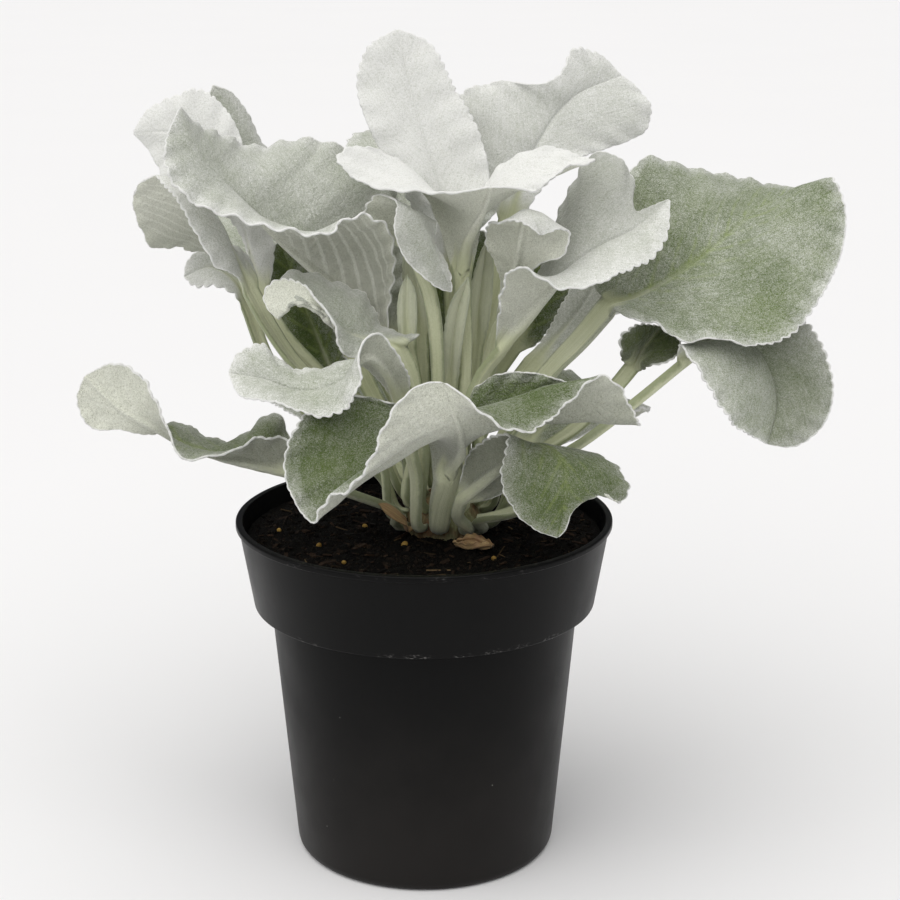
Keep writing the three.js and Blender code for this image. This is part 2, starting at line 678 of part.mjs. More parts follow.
      [2, 214, -42], [-14, 232, -50], [-34, 238, -56], [-54, 233, -62], [-66, 217, -66],
      [-70, 200, -70], [-66, 184, -77], [-57, 172, -82], [-49, 185, -88], [-37, 190, -92],
      [-27, 205, -93], [-19, 222, -92], [-11, 237, -88], [0, 244, -82],
    ],
    halfWidth: 8,
    footHalfWidth: 4.4,
    cells: 4,
    stations: 16,
  },
  leaf_front_right: {
    foot: [-62, 80],
    stalk: [[17, 176, -33]],
    rib: [
      [19, 184, -43], [28, 192, -50], [40, 202, -56], [53, 213, -62], [64, 210, -69], [70, 203, -75],
      [71, 189, -79], [68, 163, -78],
    ],
    left: [
      [29, 183, -45], [42, 188, -48], [58, 202, -51], [76, 207, -53], [93, 204, -60], [103, 191, -70],
      [100, 182, -73], [92, 185, -76], [82, 184, -78], [75, 177, -79], [72, 168, -79],
    ],
    right: [
      [18, 194, -44], [22, 207, -48], [31, 215, -54], [42, 217, -61], [41, 207, -66], [39, 195, -69],
      [41, 186, -72], [48, 175, -76], [58, 167, -78],
    ],
    halfWidth: 3.4,
    stations: 13,
  },
  leaf_low_left: {
    foot: [-157, 82],
    stalk: [[-12, 178, -12], [-34, 188, -17], [-52, 194, -17]],
    rib: [
      [-66, 199, -15], [-84, 203, -15], [-104, 208, -16], [-120, 214, -18], [-134, 222, -16],
      [-150, 231, -12], [-168, 249, -8],
    ],
    left: [
      [-66, 213, -22], [-82, 216, -24], [-98, 209, -28], [-112, 206, -32], [-122, 206, -32],
      [-127, 217, -28], [-133, 235, -22], [-142, 250, -16], [-153, 255, -12],
    ],
    right: [
      [-66, 212, -2], [-74, 229, 4], [-86, 221, 6], [-98, 214, 2], [-112, 219, 0], [-124, 224, -4],
      [-134, 219, -8], [-150, 221, -10], [-166, 222, -8], [-172, 236, -6],
    ],
    halfWidth: 4.5,
    stations: 13,
  },
  leaf_right_inner: {
    foot: [24, 44],
    stalk: [[27, 216, 13], [42, 239, 19]],
    rib: [[54, 254, 22], [65, 267, 26], [77, 282, 31], [88, 302, 37], [97, 326, 43], [106, 354, 47]],
    left: [[56, 263, 27], [63, 273, 31], [69, 285, 35], [77, 302, 40], [90, 340, 49]],
    right: [[66, 260, 21], [80, 271, 23], [93, 282, 27], [101, 304, 36], [107, 334, 44]],
    halfWidth: 6,
    stations: 8,
    smooth: true,
  },
  leaf_small_right: {
    foot: [-3, 80],
    stalk: [[46, 200, -8], [76, 222, -9], [95, 242, -8]],
    rib: [[103, 252, -6], [108, 261, -5], [113, 268, -4], [118, 273, -2]],
    left: [[98, 258, -14], [98, 268, -16], [105, 273, -12]],
    right: [[112, 253, -18], [123, 256, -18], [127, 265, -12]],
    halfWidth: 4,
    cells: 2,
    stations: 8,
  },
  leaf_low_right: {
    foot: [-44, 82],
    stalk: [[26, 174, -24], [44, 178, -30]],
    rib: [[56, 183, -34], [66, 190, -36], [76, 196, -36], [86, 199, -34]],
    left: [[56, 194, -28], [66, 203, -28], [78, 205, -30]],
    right: [[60, 178, -44], [72, 184, -47], [84, 190, -43]],
    halfWidth: 4,
    cells: 2,
    stations: 7,
  },
  leaf_young_front: {
    foot: [-100, 14],
    stalk: [[10, 205, -6]],
    rib: [[13, 240, -10], [14, 262, -12], [17, 282, -13], [22, 298, -14]],
    left: [[9, 255, -14], [11, 276, -16], [16, 290, -16]],
    right: [[18, 255, -14], [21, 276, -16], [23, 290, -16]],
    halfWidth: 3.5,
    depth: 2.2,
    teeth: 0.3,
    cells: 2,
    stations: 6,
    smooth: true,
  },
  leaf_young_right: {
    foot: [30, 26],
    stalk: [[20, 210, 8], [24, 240, 11]],
    rib: [[26, 262, 12], [27, 282, 13], [29, 300, 14], [31, 317, 15]],
    left: [[22, 275, 10], [23, 292, 10], [27, 307, 12]],
    right: [[32, 275, 10], [34, 292, 11], [34, 307, 13]],
    halfWidth: 3.5,
    depth: 2.2,
    teeth: 0.3,
    cells: 2,
    stations: 6,
    smooth: true,
  },
  leaf_young_left: {
    foot: [-160, 27],
    stalk: [[4, 212, -8], [-3, 240, -13]],
    rib: [[-7.5, 262, -14], [-8.5, 276, -15], [-8.5, 289, -15], [-8, 299, -13]],
    left: [[-12, 268, -15], [-13, 281, -16], [-11.5, 292, -15]],
    right: [[-3.5, 268, -15], [-3, 281, -16], [-4, 292, -15]],
    halfWidth: 3.5,
    depth: 2.2,
    teeth: 0.3,
    cells: 2,
    stations: 6,
    smooth: true,
  },
  leaf_young_middle: {
    foot: [165, 16],
    stalk: [[3.5, 212, 2], [0, 245, 1]],
    rib: [[-1, 268, 2], [-3, 288, 2], [-4, 308, 3], [-2, 326, 5]],
    left: [[-6, 276, 0], [-10, 294, 0], [-9, 312, 2]],
    right: [[4, 276, 0], [3, 294, 0], [2, 312, 2]],
    halfWidth: 3.5,
    depth: 2.2,
    teeth: 0.3,
    cells: 2,
    stations: 6,
    smooth: true,
  },
  leaf_inner_back: {
    foot: [98, 44],
    stalk: [[9, 206, 22]],
    rib: [[8, 232, 28], [7, 262, 34], [7, 292, 38], [8, 322, 41]],
    left: [[-14, 248, 28], [-24, 275, 32], [-16, 302, 36]],
    right: [[24, 248, 28], [34, 274, 32], [37, 300, 37], [32, 318, 40]],
    halfWidth: 6,
    stations: 7,
    smooth: true,
    cells: 2,
  },
  leaf_inner_right: {
    foot: [78, 38],
    stalk: [[21, 214, 24], [33, 244, 29]],
    rib: [[44, 262, 30], [54, 279, 33], [61, 296, 37], [67, 312, 40], [70, 324, 42]],
    left: [[42, 274, 34], [46, 292, 38], [55, 312, 42]],
    right: [[56, 265, 34], [67, 280, 37], [73, 297, 41], [75, 314, 43]],
    halfWidth: 4.5,
    cells: 2,
    stations: 8,
    smooth: true,
    footHalfWidth: 2.2,
  },
  leaf_rear_left: {
    foot: [134, 78],
    stalk: [[-8, 206, 34], [-26, 240, 52], [-40, 270, 66]],
    rib: [[-47, 286, 76], [-56, 306, 92], [-66, 324, 112], [-74, 334, 134], [-80, 328, 156]],
    left: [[-60, 284, 76], [-86, 296, 88], [-104, 314, 110], [-102, 328, 138]],
    right: [[-36, 296, 80], [-32, 322, 100], [-38, 344, 124], [-58, 346, 150]],
    halfWidth: 6,
    stations: 8,
    smooth: true,
  },
  leaf_rear: {
    foot: [88, 78],
    stalk: [[12, 210, 36], [14, 258, 54], [12, 298, 68]],
    rib: [[10, 316, 76], [8, 340, 86], [5, 360, 102], [4, 368, 124], [4, 360, 146]],
    left: [[-6, 320, 74], [-26, 342, 84], [-36, 362, 104], [-26, 368, 132]],
    right: [[26, 320, 74], [44, 344, 82], [46, 362, 106], [32, 366, 134]],
    halfWidth: 7,
    stations: 8,
    smooth: true,
  },
  leaf_rear_right: {
    foot: [40, 78],
    stalk: [[32, 204, 32], [54, 236, 50], [70, 266, 64]],
    rib: [[78, 280, 74], [90, 300, 90], [102, 316, 110], [112, 322, 132], [116, 312, 152]],
    left: [[68, 288, 80], [70, 314, 102], [82, 334, 128], [102, 330, 150]],
    right: [[92, 278, 70], [114, 290, 84], [130, 304, 108], [132, 308, 136]],
    halfWidth: 7,
    stations: 8,
    smooth: true,
  },
  leaf_rear_low: {
    foot: [112, 80],
    stalk: [[-1, 188, 36], [-16, 204, 58]],
    rib: [[-28, 218, 74], [-36, 234, 90], [-44, 244, 110], [-50, 242, 130], [-54, 230, 146]],
    left: [[-42, 216, 78], [-64, 228, 96], [-78, 238, 118], [-70, 236, 140]],
    right: [[-17, 226, 82], [-14, 244, 102], [-22, 254, 124], [-38, 244, 142]],
    halfWidth: 4.5,
    stations: 8,
    smooth: true,
  },
  leaf_rear_low_right: {
    foot: [62, 80],
    stalk: [[26, 186, 36], [40, 200, 54]],
    rib: [[50, 212, 68], [64, 226, 82], [78, 236, 98], [90, 236, 116], [98, 224, 130]],
    left: [[43, 222, 76], [50, 242, 96], [64, 252, 116], [84, 242, 130]],
    right: [[62, 210, 66], [86, 220, 76], [106, 230, 92], [112, 230, 114]],
    halfWidth: 4.5,
    stations: 8,
    smooth: true,
  },
};

// The dried remains: the stub of an old stalk on the crown, and a curled leaf lying on the mix.
const DRIED = {
  dry_stub: {
    foot: [-138, 84],
    stalk: [[-9, 172, -20]],
    rib: [[-12, 174, -23], [-17, 178, -25], [-23, 182, -26]],
    left: [[-15, 173, -26], [-20, 177, -27]],
    right: [[-13, 178, -21], [-19, 182, -23]],
    halfWidth: 2.6,
    depth: 0.6,
    teeth: 0,
    cells: 2,
    stalkSteps: 3,
    stations: 3,
  },
};

pot();
soil();
crown();
for (const [name, leaf] of Object.entries(LEAVES)) add(name, leafGeometry(leaf), FELTED_LEAF);
for (const [name, leaf] of Object.entries(DRIED)) add(name, leafGeometry(leaf), DRY_LEAF);
curledLeaf();

export default plant;
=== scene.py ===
"""Dresses an angel wings senecio in a round nursery pot: felted leaves, black plastic and potting mix."""

import math
from types import SimpleNamespace

import bmesh
import bpy
import numpy as np
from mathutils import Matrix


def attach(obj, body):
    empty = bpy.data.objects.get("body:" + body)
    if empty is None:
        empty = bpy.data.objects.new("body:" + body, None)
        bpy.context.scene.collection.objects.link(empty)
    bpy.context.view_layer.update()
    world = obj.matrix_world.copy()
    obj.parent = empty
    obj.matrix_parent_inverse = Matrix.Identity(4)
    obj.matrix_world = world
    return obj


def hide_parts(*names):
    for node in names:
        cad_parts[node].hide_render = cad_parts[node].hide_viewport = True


bl_info = {
    "name": "Angel Wings Senecio",
    "version": (1, 0, 0),
    "blender": (4, 5, 0),
    "location": "3D View > Sidebar > Senecio",
    "description": "A potted angel wings senecio with felted leaves, made around its packed solids",
    "category": "Add Mesh",
}

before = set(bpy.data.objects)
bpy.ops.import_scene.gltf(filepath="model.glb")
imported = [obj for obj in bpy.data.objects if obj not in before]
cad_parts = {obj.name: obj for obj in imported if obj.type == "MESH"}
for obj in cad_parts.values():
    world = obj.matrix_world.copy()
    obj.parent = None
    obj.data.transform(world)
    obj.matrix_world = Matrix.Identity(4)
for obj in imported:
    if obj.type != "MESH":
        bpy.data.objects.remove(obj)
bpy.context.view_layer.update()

MM = 0.001
MERGE = 2e-6
TURN = 2 * math.pi

# The pot's sizes in millimetres, as in its solid.
RIM_RADIUS = 95
POT_HEIGHT = 176
COLLAR_DEPTH = 44
COLLAR_FOOT = POT_HEIGHT - COLLAR_DEPTH
COLLAR_FOOT_RADIUS = 86.5
BODY_TOP_RADIUS = 78
BODY_FOOT_RADIUS = 66.5
WALL = 1.8
LIP = 1.6
FOOT_ROUND = 5
FLOOR = 2.4
DRAIN_RADIUS = 5
DRAIN_CIRCLE = 48
DRAINS = 6
SLOT_WIDTH = 3.4
SLOT_HEIGHT = 5
SLOT_DROP = 5.6
SLOT_TURN = 6
SHARP_EDGE = math.radians(40)

# The mix and the crown that stands in it.
SOIL_LEVEL = POT_HEIGHT - 9
SOIL_BUMP = 1.2
MOUND = 1.2
MOUND_WIDTH = 38
LUMP_LENGTH = 16
CROWN = np.array([10.0, 2.0, SOIL_LEVEL + 4])
CROWN_RADIUS = 19
CROWN_SKIN = 0.9
GAP = 0.3

# The leaves' stalks and ribs, and the blade's bow between rib and margin as a share of its width.
STALK_HALF_WIDTH = 4.2
STALK_DEPTH = 3.6
STALK_RISE = 6
STALK_ROW = 2.4
RIB_HALF_WIDTH = 2.6
TIP_RIB_HALF_WIDTH = 0.9
RIB_AT_TIP = 0.5
FOOT_HALF_WIDTH = 2.7
BOW = 0.06
LAST_ROW = 0.992

# The margins: how far in from them the teeth, the ripples and the felted rim reach, and how wide a
# blade has to be for ripples to begin and to be at their full height.
TOOTH_REACH = 1.9
RIPPLE_REACH = 7.0
RIM_BLEND = 0.7
RIPPLE_WIDTHS = (6, 22)

# The side veins: how many fan out from the blade's foot, how wide they are, how far from rib and
# margin they fade, and how high the pleats between them and the unevenness all over stand.
VEIN_FAN = 6
VEIN_HALF_WIDTH = 0.95
VEIN_START = (1.0, 5.0)
VEIN_END = (0, 9)
BLADE_START = (0, 14)
PLEAT = 0.30
UNEVEN = 0.85
FINELY_UNEVEN = 0.28

# The groove along the upper side of rib and stalk, as shares of the rib's depth and half width, and
# the fine flutes of the stalk: their height and how many radians they turn in a millimetre.
GROOVE = 0.28
GROOVE_HALF_WIDTH = 0.55
FLUTE = 0.10
FLUTE_TURN = 2.3

# The dead leaf on the mix.
DEAD_LEAF = np.array([24.0, -33.0, SOIL_LEVEL + 2.1])
DEAD_LEAF_TURN = -0.5
DEAD_LEAF_LENGTH = 20
DEAD_LEAF_WIDTH = 13
DEAD_LEAF_ROLL = 3.9
DEAD_LEAF_HALF = 0.30

# Where the front elevation is drawn from, and the stage: the camera, the large lamp and the air. The
# camera's turn comes from its focal length and the plant's place left of the middle, in pixels.
EYE = np.array([0.0, -953.0, 480.0])
CAMERA_SPOT = (0, -0.9527, 0.480)
SOFTBOX_WIDTH = math.radians(95)
SOFTBOX_TURN = (math.radians(20), math.radians(-9), 0)
WARM = (1.0, 0.985, 0.96)
COOL = (0.93, 0.95, 1.0, 1.0)
CAMERA_LENS = 79.04
CAMERA_TILT = math.radians(15.83)
FOCAL_PX = 1976
AXIS_OFF_PX = 27

# What a young leaf has in common with the others of its age.
YOUNG = {"half_width": 3.5, "depth": 2.2, "teeth": 0.3}

# Every leaf, its points drawn on the front elevation as [right of the axis, height, behind the axis]:
# the stalk from the crown, the rib from the foot of the blade to the tip, and the margins left and
# right of the rib, seen on the upper face with the tip upwards. The foot is a bearing from the right,
# turning to the back, and a lean away from upright.
LEAVES = {
    "leaf_spoon": {
        "foot": (90, 14),
        "stalk": [(12, 210, 6), (15, 255, 6)],
        "rib": [(14, 298, 5), (8, 338, 8), (0, 366, 14), (-7, 392, 20), (-12, 417, 24)],
        "left": [(3, 318, 4), (-12, 345, 4), (-26, 371, 10), (-31, 391, 16), (-25, 408, 21)],
        "right": [(24, 316, 5), (32, 343, 6), (27, 367, 12), (14, 390, 18), (3, 410, 22)],
        "half_width": 4.5,
    },
    "leaf_cup": {
        "foot": (-30, 24),
        "stalk": [(18, 215, -6), (20, 258, -5)],
        "rib": [(19, 298, -4), (21, 312, -8), (25, 322, -16), (30, 332, -26), (33, 342, -38)],
        "left": [(27, 318, 2), (32, 345, 4), (46, 357, 0), (61, 361, -6), (74, 357, -14),
            (82, 354, -20), (68, 351, -28), (54, 340, -32), (44, 341, -36)],
        "right": [(8, 322, 2), (0, 340, 2), (-16, 357, -2), (-34, 361, -8), (-41, 355, -14),
            (-30, 345, -22), (-12, 340, -30), (10, 339, -36)],
        "half_width": 4.5,
    },
    "leaf_back_right": {
        "foot": (50, 51),
        "stalk": [(20, 215, 14), (30, 265, 22), (38, 305, 28)],
        "rib": [(42, 325, 32), (48, 345, 36), (57, 366, 44), (72, 385, 56), (95, 395, 66)],
        "left": [(32, 340, 32), (20, 362, 34), (17, 384, 42), (36, 392, 50), (56, 391, 48),
            (66, 396, 54), (72, 407, 60), (84, 404, 66)],
        "right": [(56, 340, 32), (74, 355, 42), (90, 361, 52), (106, 368, 58), (109, 377, 60),
            (103, 388, 64)],
        "half_width": 6,
    },
    "leaf_mid_right": {
        "foot": (-60, 50),
        "stalk": [(16, 208, -18), (21, 232, -20), (28, 249, -20)],
        "rib": [(37, 261, -20), (49, 275, -18), (60, 289, -19), (72, 303, -20), (86, 313, -20),
            (102, 321, -20), (120, 336, -20)],
        "left": [(44, 271, -14), (54, 290, -5), (60, 312, 4), (70, 338, 8), (80, 357, 6),
            (92, 357, 2), (101, 344, -4), (101, 330, -12)],
        "right": [(36, 271, -25), (38, 284, -31), (41, 299, -37), (46, 302, -40), (56, 297.5, -41),
            (68, 291.5, -42), (84, 294, -42), (98, 300, -38), (110, 306, -34), (118, 317, -28)],
    },
    "leaf_big_right": {
        "foot": (18, 72),
        "stalk": [(37, 213, -1), (50, 236, 1), (63, 252, 2), (77, 267, 4)],
        "rib": [(90, 283, 6), (105, 288, 2), (124, 299, -2), (142, 313, -1), (160, 329, 5),
            (181, 341, 14)],
        "left": [(84, 293, 15), (86, 311, 20), (95, 338, 28), (106, 355, 32), (125, 352, 34),
            (148, 347, 34), (167, 343, 26)],
        "right": [(95, 280, -7), (103, 276.5, -16), (114, 274, -22), (128, 265, -30),
            (145, 267, -33), (162, 263, -36), (180, 268, -34), (194, 286, -28), (204, 308, -20),
            (205, 330, -10), (197, 346, 0), (188, 342, 8)],
        "half_width": 8.5,
    },
    "leaf_droop_right": {
        "foot": (-24, 80),
        "stalk": [(50, 196, -14), (80, 216, -16), (105, 236, -16)],
        "rib": [(126, 254, -16), (146, 266, -12), (163, 263, -13), (173, 248, -16), (176, 232, -19),
            (172, 212, -27)],
        "left": [(136, 266, -4), (152, 280, 4), (172, 282, 0), (188, 274, -10), (199, 258, -20),
            (204, 238, -28), (200, 222, -32), (186, 211, -31)],
        "right": [(126, 264, -26), (133, 256, -34), (140, 246, -38), (148, 233, -40),
            (156, 222, -38), (166, 216, -33)],
        "half_width": 4,
    },
    "leaf_curl_right": {
        "foot": (-10, 50),
        "stalk": [(26, 225, 2), (33, 255, 3)],
        "rib": [(38, 272, 1), (43, 290, -8), (46, 305, -18), (48, 318, -24), (50, 331, -29),
            (53, 327, -38), (57, 318, -41)],
        "left": [(47, 290, -12), (57, 304, -26), (68, 308, -31), (71, 317, -33), (67, 322, -38),
            (62, 320, -41)],
        "right": [(37, 286, -2), (38, 297, -5), (35, 306, -8), (30.5, 314, -10), (32, 323, -15),
            (37, 324, -26), (44, 326, -36), (51, 323, -40)],
        "half_width": 4.5,
    },
    "leaf_tongue": {
        "foot": (-94, 48),
        "stalk": [(6, 212, -17), (7, 250, -19), (4, 285, -19)],
        "rib": [(-4, 310, -18), (-10, 330, -21), (-5, 331, -28), (3, 315, -33), (9, 301, -35),
            (14, 290, -35)],
        "left": [(4, 318, -17), (6, 324, -20), (6, 315, -26), (10, 306, -31), (13, 298, -34)],
        "right": [(-16, 316, -15), (-28, 329, -17), (-22, 338, -21), (-13, 335, -27),
            (-14, 321, -33), (-9, 307, -37), (0, 298, -39), (8, 292, -38)],
        "half_width": 4,
    },
    "leaf_big_left": {
        "foot": (-154, 50),
        "stalk": [(-3, 215, -4), (-9, 245, -2)],
        "rib": [(-14, 264, 1), (-30, 282, 3), (-50, 299, 0), (-72, 319, -8), (-90, 339, -15),
            (-106, 356, -20), (-116, 381, -20)],
        "left": [(-17, 283, -6), (-14, 303, -14), (-17, 322, -24), (-32, 329, -34), (-50, 318, -42),
            (-68, 322, -44), (-88, 326, -42), (-108, 333, -40), (-122, 347, -37), (-123, 363, -31)],
        "right": [(-8, 290, 10), (-8, 320, 20), (-20, 350, 27), (-40, 362, 29), (-60, 365, 27),
            (-78, 361, 22), (-95, 366, 11), (-108, 372, -4)],
        "half_width": 7,
    },
    "leaf_left_shade": {
        "foot": (-177, 78),
        "stalk": [(-20, 207, -4), (-44, 236, -6), (-63, 255.5, -7), (-75, 273.5, -7)],
        "rib": [(-84, 291, -7), (-90, 306, -7), (-98, 326, -8), (-109, 339, -8), (-119, 346, -6),
            (-129, 348, -2)],
        "left": [(-90, 297, -11), (-96, 301, -17), (-101, 303, -21), (-106, 312, -23),
            (-113, 324, -22), (-119, 337, -18)],
        "right": [(-81, 298, -2), (-86, 308, 5), (-95, 313, 13), (-107, 311, 21), (-120, 313, 28),
            (-131, 312, 30), (-137, 322, 26), (-140, 335, 16), (-137, 343, 6)],
        "half_width": 5.2,
    },
    "leaf_top_left": {
        "foot": (178, 50),
        "stalk": [(-24, 220, 12), (-50, 248, 10), (-70, 270, 9)],
        "rib": [(-80, 289, 11), (-84, 306, 14), (-87, 322, 16), (-94, 341, 20), (-105, 358, 26),
            (-120, 368, 30), (-139, 368, 34)],
        "left": [(-84, 301, 14), (-88, 318, 18), (-97, 331, 19), (-110, 338, 20), (-124, 345, 24),
            (-128, 354, 30), (-133, 362, 34)],
        "right": [(-74, 300, 14), (-73, 316, 16), (-77, 336, 18), (-84, 352, 20), (-88, 368, 24),
            (-95, 380, 28), (-106, 388, 32), (-119, 384, 36), (-131, 379, 36)],
        "half_width": 4.5,
    },
    "leaf_back_left": {
        "foot": (118, 50),
        "stalk": [(-6, 216, 30), (-28, 265, 42), (-48, 305, 48)],
        "rib": [(-58, 324, 50), (-70, 346, 54), (-83, 368, 58), (-92, 382, 60), (-100, 391, 60)],
        "left": [(-68, 328, 48), (-86, 340, 46), (-98, 358, 48), (-104, 376, 54)],
        "right": [(-58, 340, 56), (-66, 354, 60), (-77, 363, 62), (-84, 377, 64), (-91, 387, 63)],
        "half_width": 5,
    },
    "leaf_left_back": {
        "foot": (158, 78),
        "stalk": [(-20, 196, 18), (-50, 222, 28), (-76, 256, 34)],
        "rib": [(-86, 284, 37), (-93, 297, 39), (-104, 303, 40), (-117, 298, 38)],
        "left": [(-92, 289, 33), (-101, 294, 32), (-111, 294, 34)],
        "right": [(-83, 297, 42), (-90, 310, 46), (-105, 313, 45), (-115, 305, 41)],
        "half_width": 4,
    },
    "leaf_inner_left": {
        "foot": (148, 50),
        "stalk": [(-8, 206, 20), (-24, 224, 27)],
        "rib": [(-38, 239, 31), (-46, 252, 32), (-52, 267, 34), (-58, 281, 36), (-64, 298, 38),
            (-70, 316, 38)],
        "left": [(-50, 246, 29), (-61, 257, 30), (-71, 275, 32), (-77, 292, 34), (-78, 308, 36)],
        "right": [(-36, 250, 31), (-41, 262, 31), (-45, 274, 32), (-50, 287, 33), (-58, 305, 35)],
        "half_width": 5,
    },
    "leaf_wave_upper": {
        "foot": (-125, 50),
        "stalk": [(1, 212, -24), (-2, 234, -28), (-6, 250, -29)],
        "rib": [(-11, 261, -30), (-20, 266, -31), (-32, 268, -33), (-44, 274, -37), (-54, 282, -42),
            (-62, 284.5, -43), (-68, 281, -42), (-72, 277, -40)],
        "left": [(-16, 259, -34), (-27, 257, -39), (-40, 260, -43), (-45, 275, -44),
            (-54, 289, -40), (-62, 295.5, -36), (-71, 296.5, -34), (-78, 290, -35),
            (-77, 283, -38)],
        "right": [(-2, 269, -27), (-10, 269, -22), (-20, 273, -19), (-28, 288, -15),
            (-42, 295, -15), (-57, 300, -16), (-67, 299, -20), (-73, 293, -27), (-74, 285, -34)],
        "half_width": 4,
    },
    "leaf_wave_lower": {
        "foot": (-122, 76),
        "stalk": [(-4, 198, -26), (-9, 218, -31)],
        "rib": [(-12, 234, -36), (-19, 251, -45), (-29, 257, -52), (-44, 244, -56), (-62, 241, -56),
            (-80, 247, -53), (-97, 250, -51)],
        "left": [(-7, 246, -44), (-13, 259, -50), (-24, 270, -56), (-32, 260, -62), (-31, 246, -67),
            (-40, 231, -69), (-54, 228, -69), (-74, 235, -66), (-91, 238, -60)],
        "right": [(-16, 236, -36), (-24, 248, -41), (-35, 255, -45), (-50, 252, -46),
            (-68, 254, -45), (-80, 264, -44), (-92, 259, -47)],
        "half_width": 4,
    },
    "leaf_front": {
        "foot": (-96, 76),
        "stalk": [(9, 182, -30)],
        "rib": [(12, 196, -38), (18, 207, -52), (18, 218, -65), (14, 231, -74), (10, 245, -78)],
        "left": [(20, 224, -40), (31, 246, -46), (50, 250, -48), (72, 244, -52), (92, 231, -50),
            (107, 222, -58), (101, 236, -62), (97, 243, -65), (86, 248, -69), (72, 234, -77),
            (52, 220, -85), (34, 224, -87), (22, 236, -84)],
        "right": [(2, 214, -42), (-14, 232, -50), (-34, 238, -56), (-54, 233, -62), (-66, 217, -66),
            (-70, 200, -70), (-66, 184, -77), (-57, 172, -82), (-49, 185, -88), (-37, 190, -92),
            (-27, 205, -93), (-19, 222, -92), (-11, 237, -88), (0, 244, -82)],
        "half_width": 8,
        "foot_half_width": 4.4,
    },
    "leaf_front_right": {
        "foot": (-62, 80),
        "stalk": [(17, 176, -33)],
        "rib": [(19, 184, -43), (28, 192, -50), (40, 202, -56), (53, 213, -62), (64, 210, -69),
            (70, 203, -75), (71, 189, -79), (68, 163, -78)],
        "left": [(29, 183, -45), (42, 188, -48), (58, 202, -51), (76, 207, -53), (93, 204, -60),
            (103, 191, -70), (100, 182, -73), (92, 185, -76), (82, 184, -78), (75, 177, -79),
            (72, 168, -79)],
        "right": [(18, 194, -44), (22, 207, -48), (31, 215, -54), (42, 217, -61), (41, 207, -66),
            (39, 195, -69), (41, 186, -72), (48, 175, -76), (58, 167, -78)],
        "half_width": 3.4,
    },
    "leaf_low_left": {
        "foot": (-157, 82),
        "stalk": [(-12, 178, -12), (-34, 188, -17), (-52, 194, -17)],
        "rib": [(-66, 199, -15), (-84, 203, -15), (-104, 208, -16), (-120, 214, -18),
            (-134, 222, -16), (-150, 231, -12), (-168, 249, -8)],
        "left": [(-66, 213, -22), (-82, 216, -24), (-98, 209, -28), (-112, 206, -32),
            (-122, 206, -32), (-127, 217, -28), (-133, 235, -22), (-142, 250, -16),
            (-153, 255, -12)],
        "right": [(-66, 212, -2), (-74, 229, 4), (-86, 221, 6), (-98, 214, 2), (-112, 219, 0),
            (-124, 224, -4), (-134, 219, -8), (-150, 221, -10), (-166, 222, -8), (-172, 236, -6)],
        "half_width": 4.5,
    },
    "leaf_right_inner": {
        "foot": (24, 44),
        "stalk": [(27, 216, 13), (42, 239, 19)],
        "rib": [(54, 254, 22), (65, 267, 26), (77, 282, 31), (88, 302, 37), (97, 326, 43),
            (106, 354, 47)],
        "left": [(56, 263, 27), (63, 273, 31), (69, 285, 35), (77, 302, 40), (90, 340, 49)],
        "right": [(66, 260, 21), (80, 271, 23), (93, 282, 27), (101, 304, 36), (107, 334, 44)],
        "half_width": 6,
    },
    "leaf_small_right": {
        "foot": (-3, 80),
        "stalk": [(46, 200, -8), (76, 222, -9), (95, 242, -8)],
        "rib": [(103, 252, -6), (108, 261, -5), (113, 268, -4), (118, 273, -2)],
        "left": [(98, 258, -14), (98, 268, -16), (105, 273, -12)],
        "right": [(112, 253, -18), (123, 256, -18), (127, 265, -12)],
        "half_width": 4,
    },
    "leaf_low_right": {
        "foot": (-44, 82),
        "stalk": [(26, 174, -24), (44, 178, -30)],
        "rib": [(56, 183, -34), (66, 190, -36), (76, 196, -36), (86, 199, -34)],
        "left": [(56, 194, -28), (66, 203, -28), (78, 205, -30)],
        "right": [(60, 178, -44), (72, 184, -47), (84, 190, -43)],
        "half_width": 4,
    },
    "leaf_young_front": {
        "foot": (-100, 14),
        "stalk": [(10, 205, -6)],
        "rib": [(13, 240, -10), (14, 262, -12), (17, 282, -13), (22, 298, -14)],
        "left": [(9, 255, -14), (11, 276, -16), (16, 290, -16)],
        "right": [(18, 255, -14), (21, 276, -16), (23, 290, -16)],
        **YOUNG,
    },
    "leaf_young_right": {
        "foot": (30, 26),
        "stalk": [(20, 210, 8), (24, 240, 11)],
        "rib": [(26, 262, 12), (27, 282, 13), (29, 300, 14), (31, 317, 15)],
        "left": [(22, 275, 10), (23, 292, 10), (27, 307, 12)],
        "right": [(32, 275, 10), (34, 292, 11), (34, 307, 13)],
        **YOUNG,
    },
    "leaf_young_left": {
        "foot": (-160, 27),
        "stalk": [(4, 212, -8), (-3, 240, -13)],
        "rib": [(-7.5, 262, -14), (-8.5, 276, -15), (-8.5, 289, -15), (-8, 299, -13)],
        "left": [(-12, 268, -15), (-13, 281, -16), (-11.5, 292, -15)],
        "right": [(-3.5, 268, -15), (-3, 281, -16), (-4, 292, -15)],
        **YOUNG,
    },
    "leaf_young_middle": {
        "foot": (165, 16),
        "stalk": [(3.5, 212, 2), (0, 245, 1)],
        "rib": [(-1, 268, 2), (-3, 288, 2), (-4, 308, 3), (-2, 326, 5)],
        "left": [(-6, 276, 0), (-10, 294, 0), (-9, 312, 2)],
        "right": [(4, 276, 0), (3, 294, 0), (2, 312, 2)],
        **YOUNG,
    },
    "leaf_inner_back": {
        "foot": (98, 44),
        "stalk": [(9, 206, 22)],
        "rib": [(8, 232, 28), (7, 262, 34), (7, 292, 38), (8, 322, 41)],
        "left": [(-14, 248, 28), (-24, 275, 32), (-16, 302, 36)],
        "right": [(24, 248, 28), (34, 274, 32), (37, 300, 37), (32, 318, 40)],
        "half_width": 6,
    },
    "leaf_inner_right": {
        "foot": (78, 38),
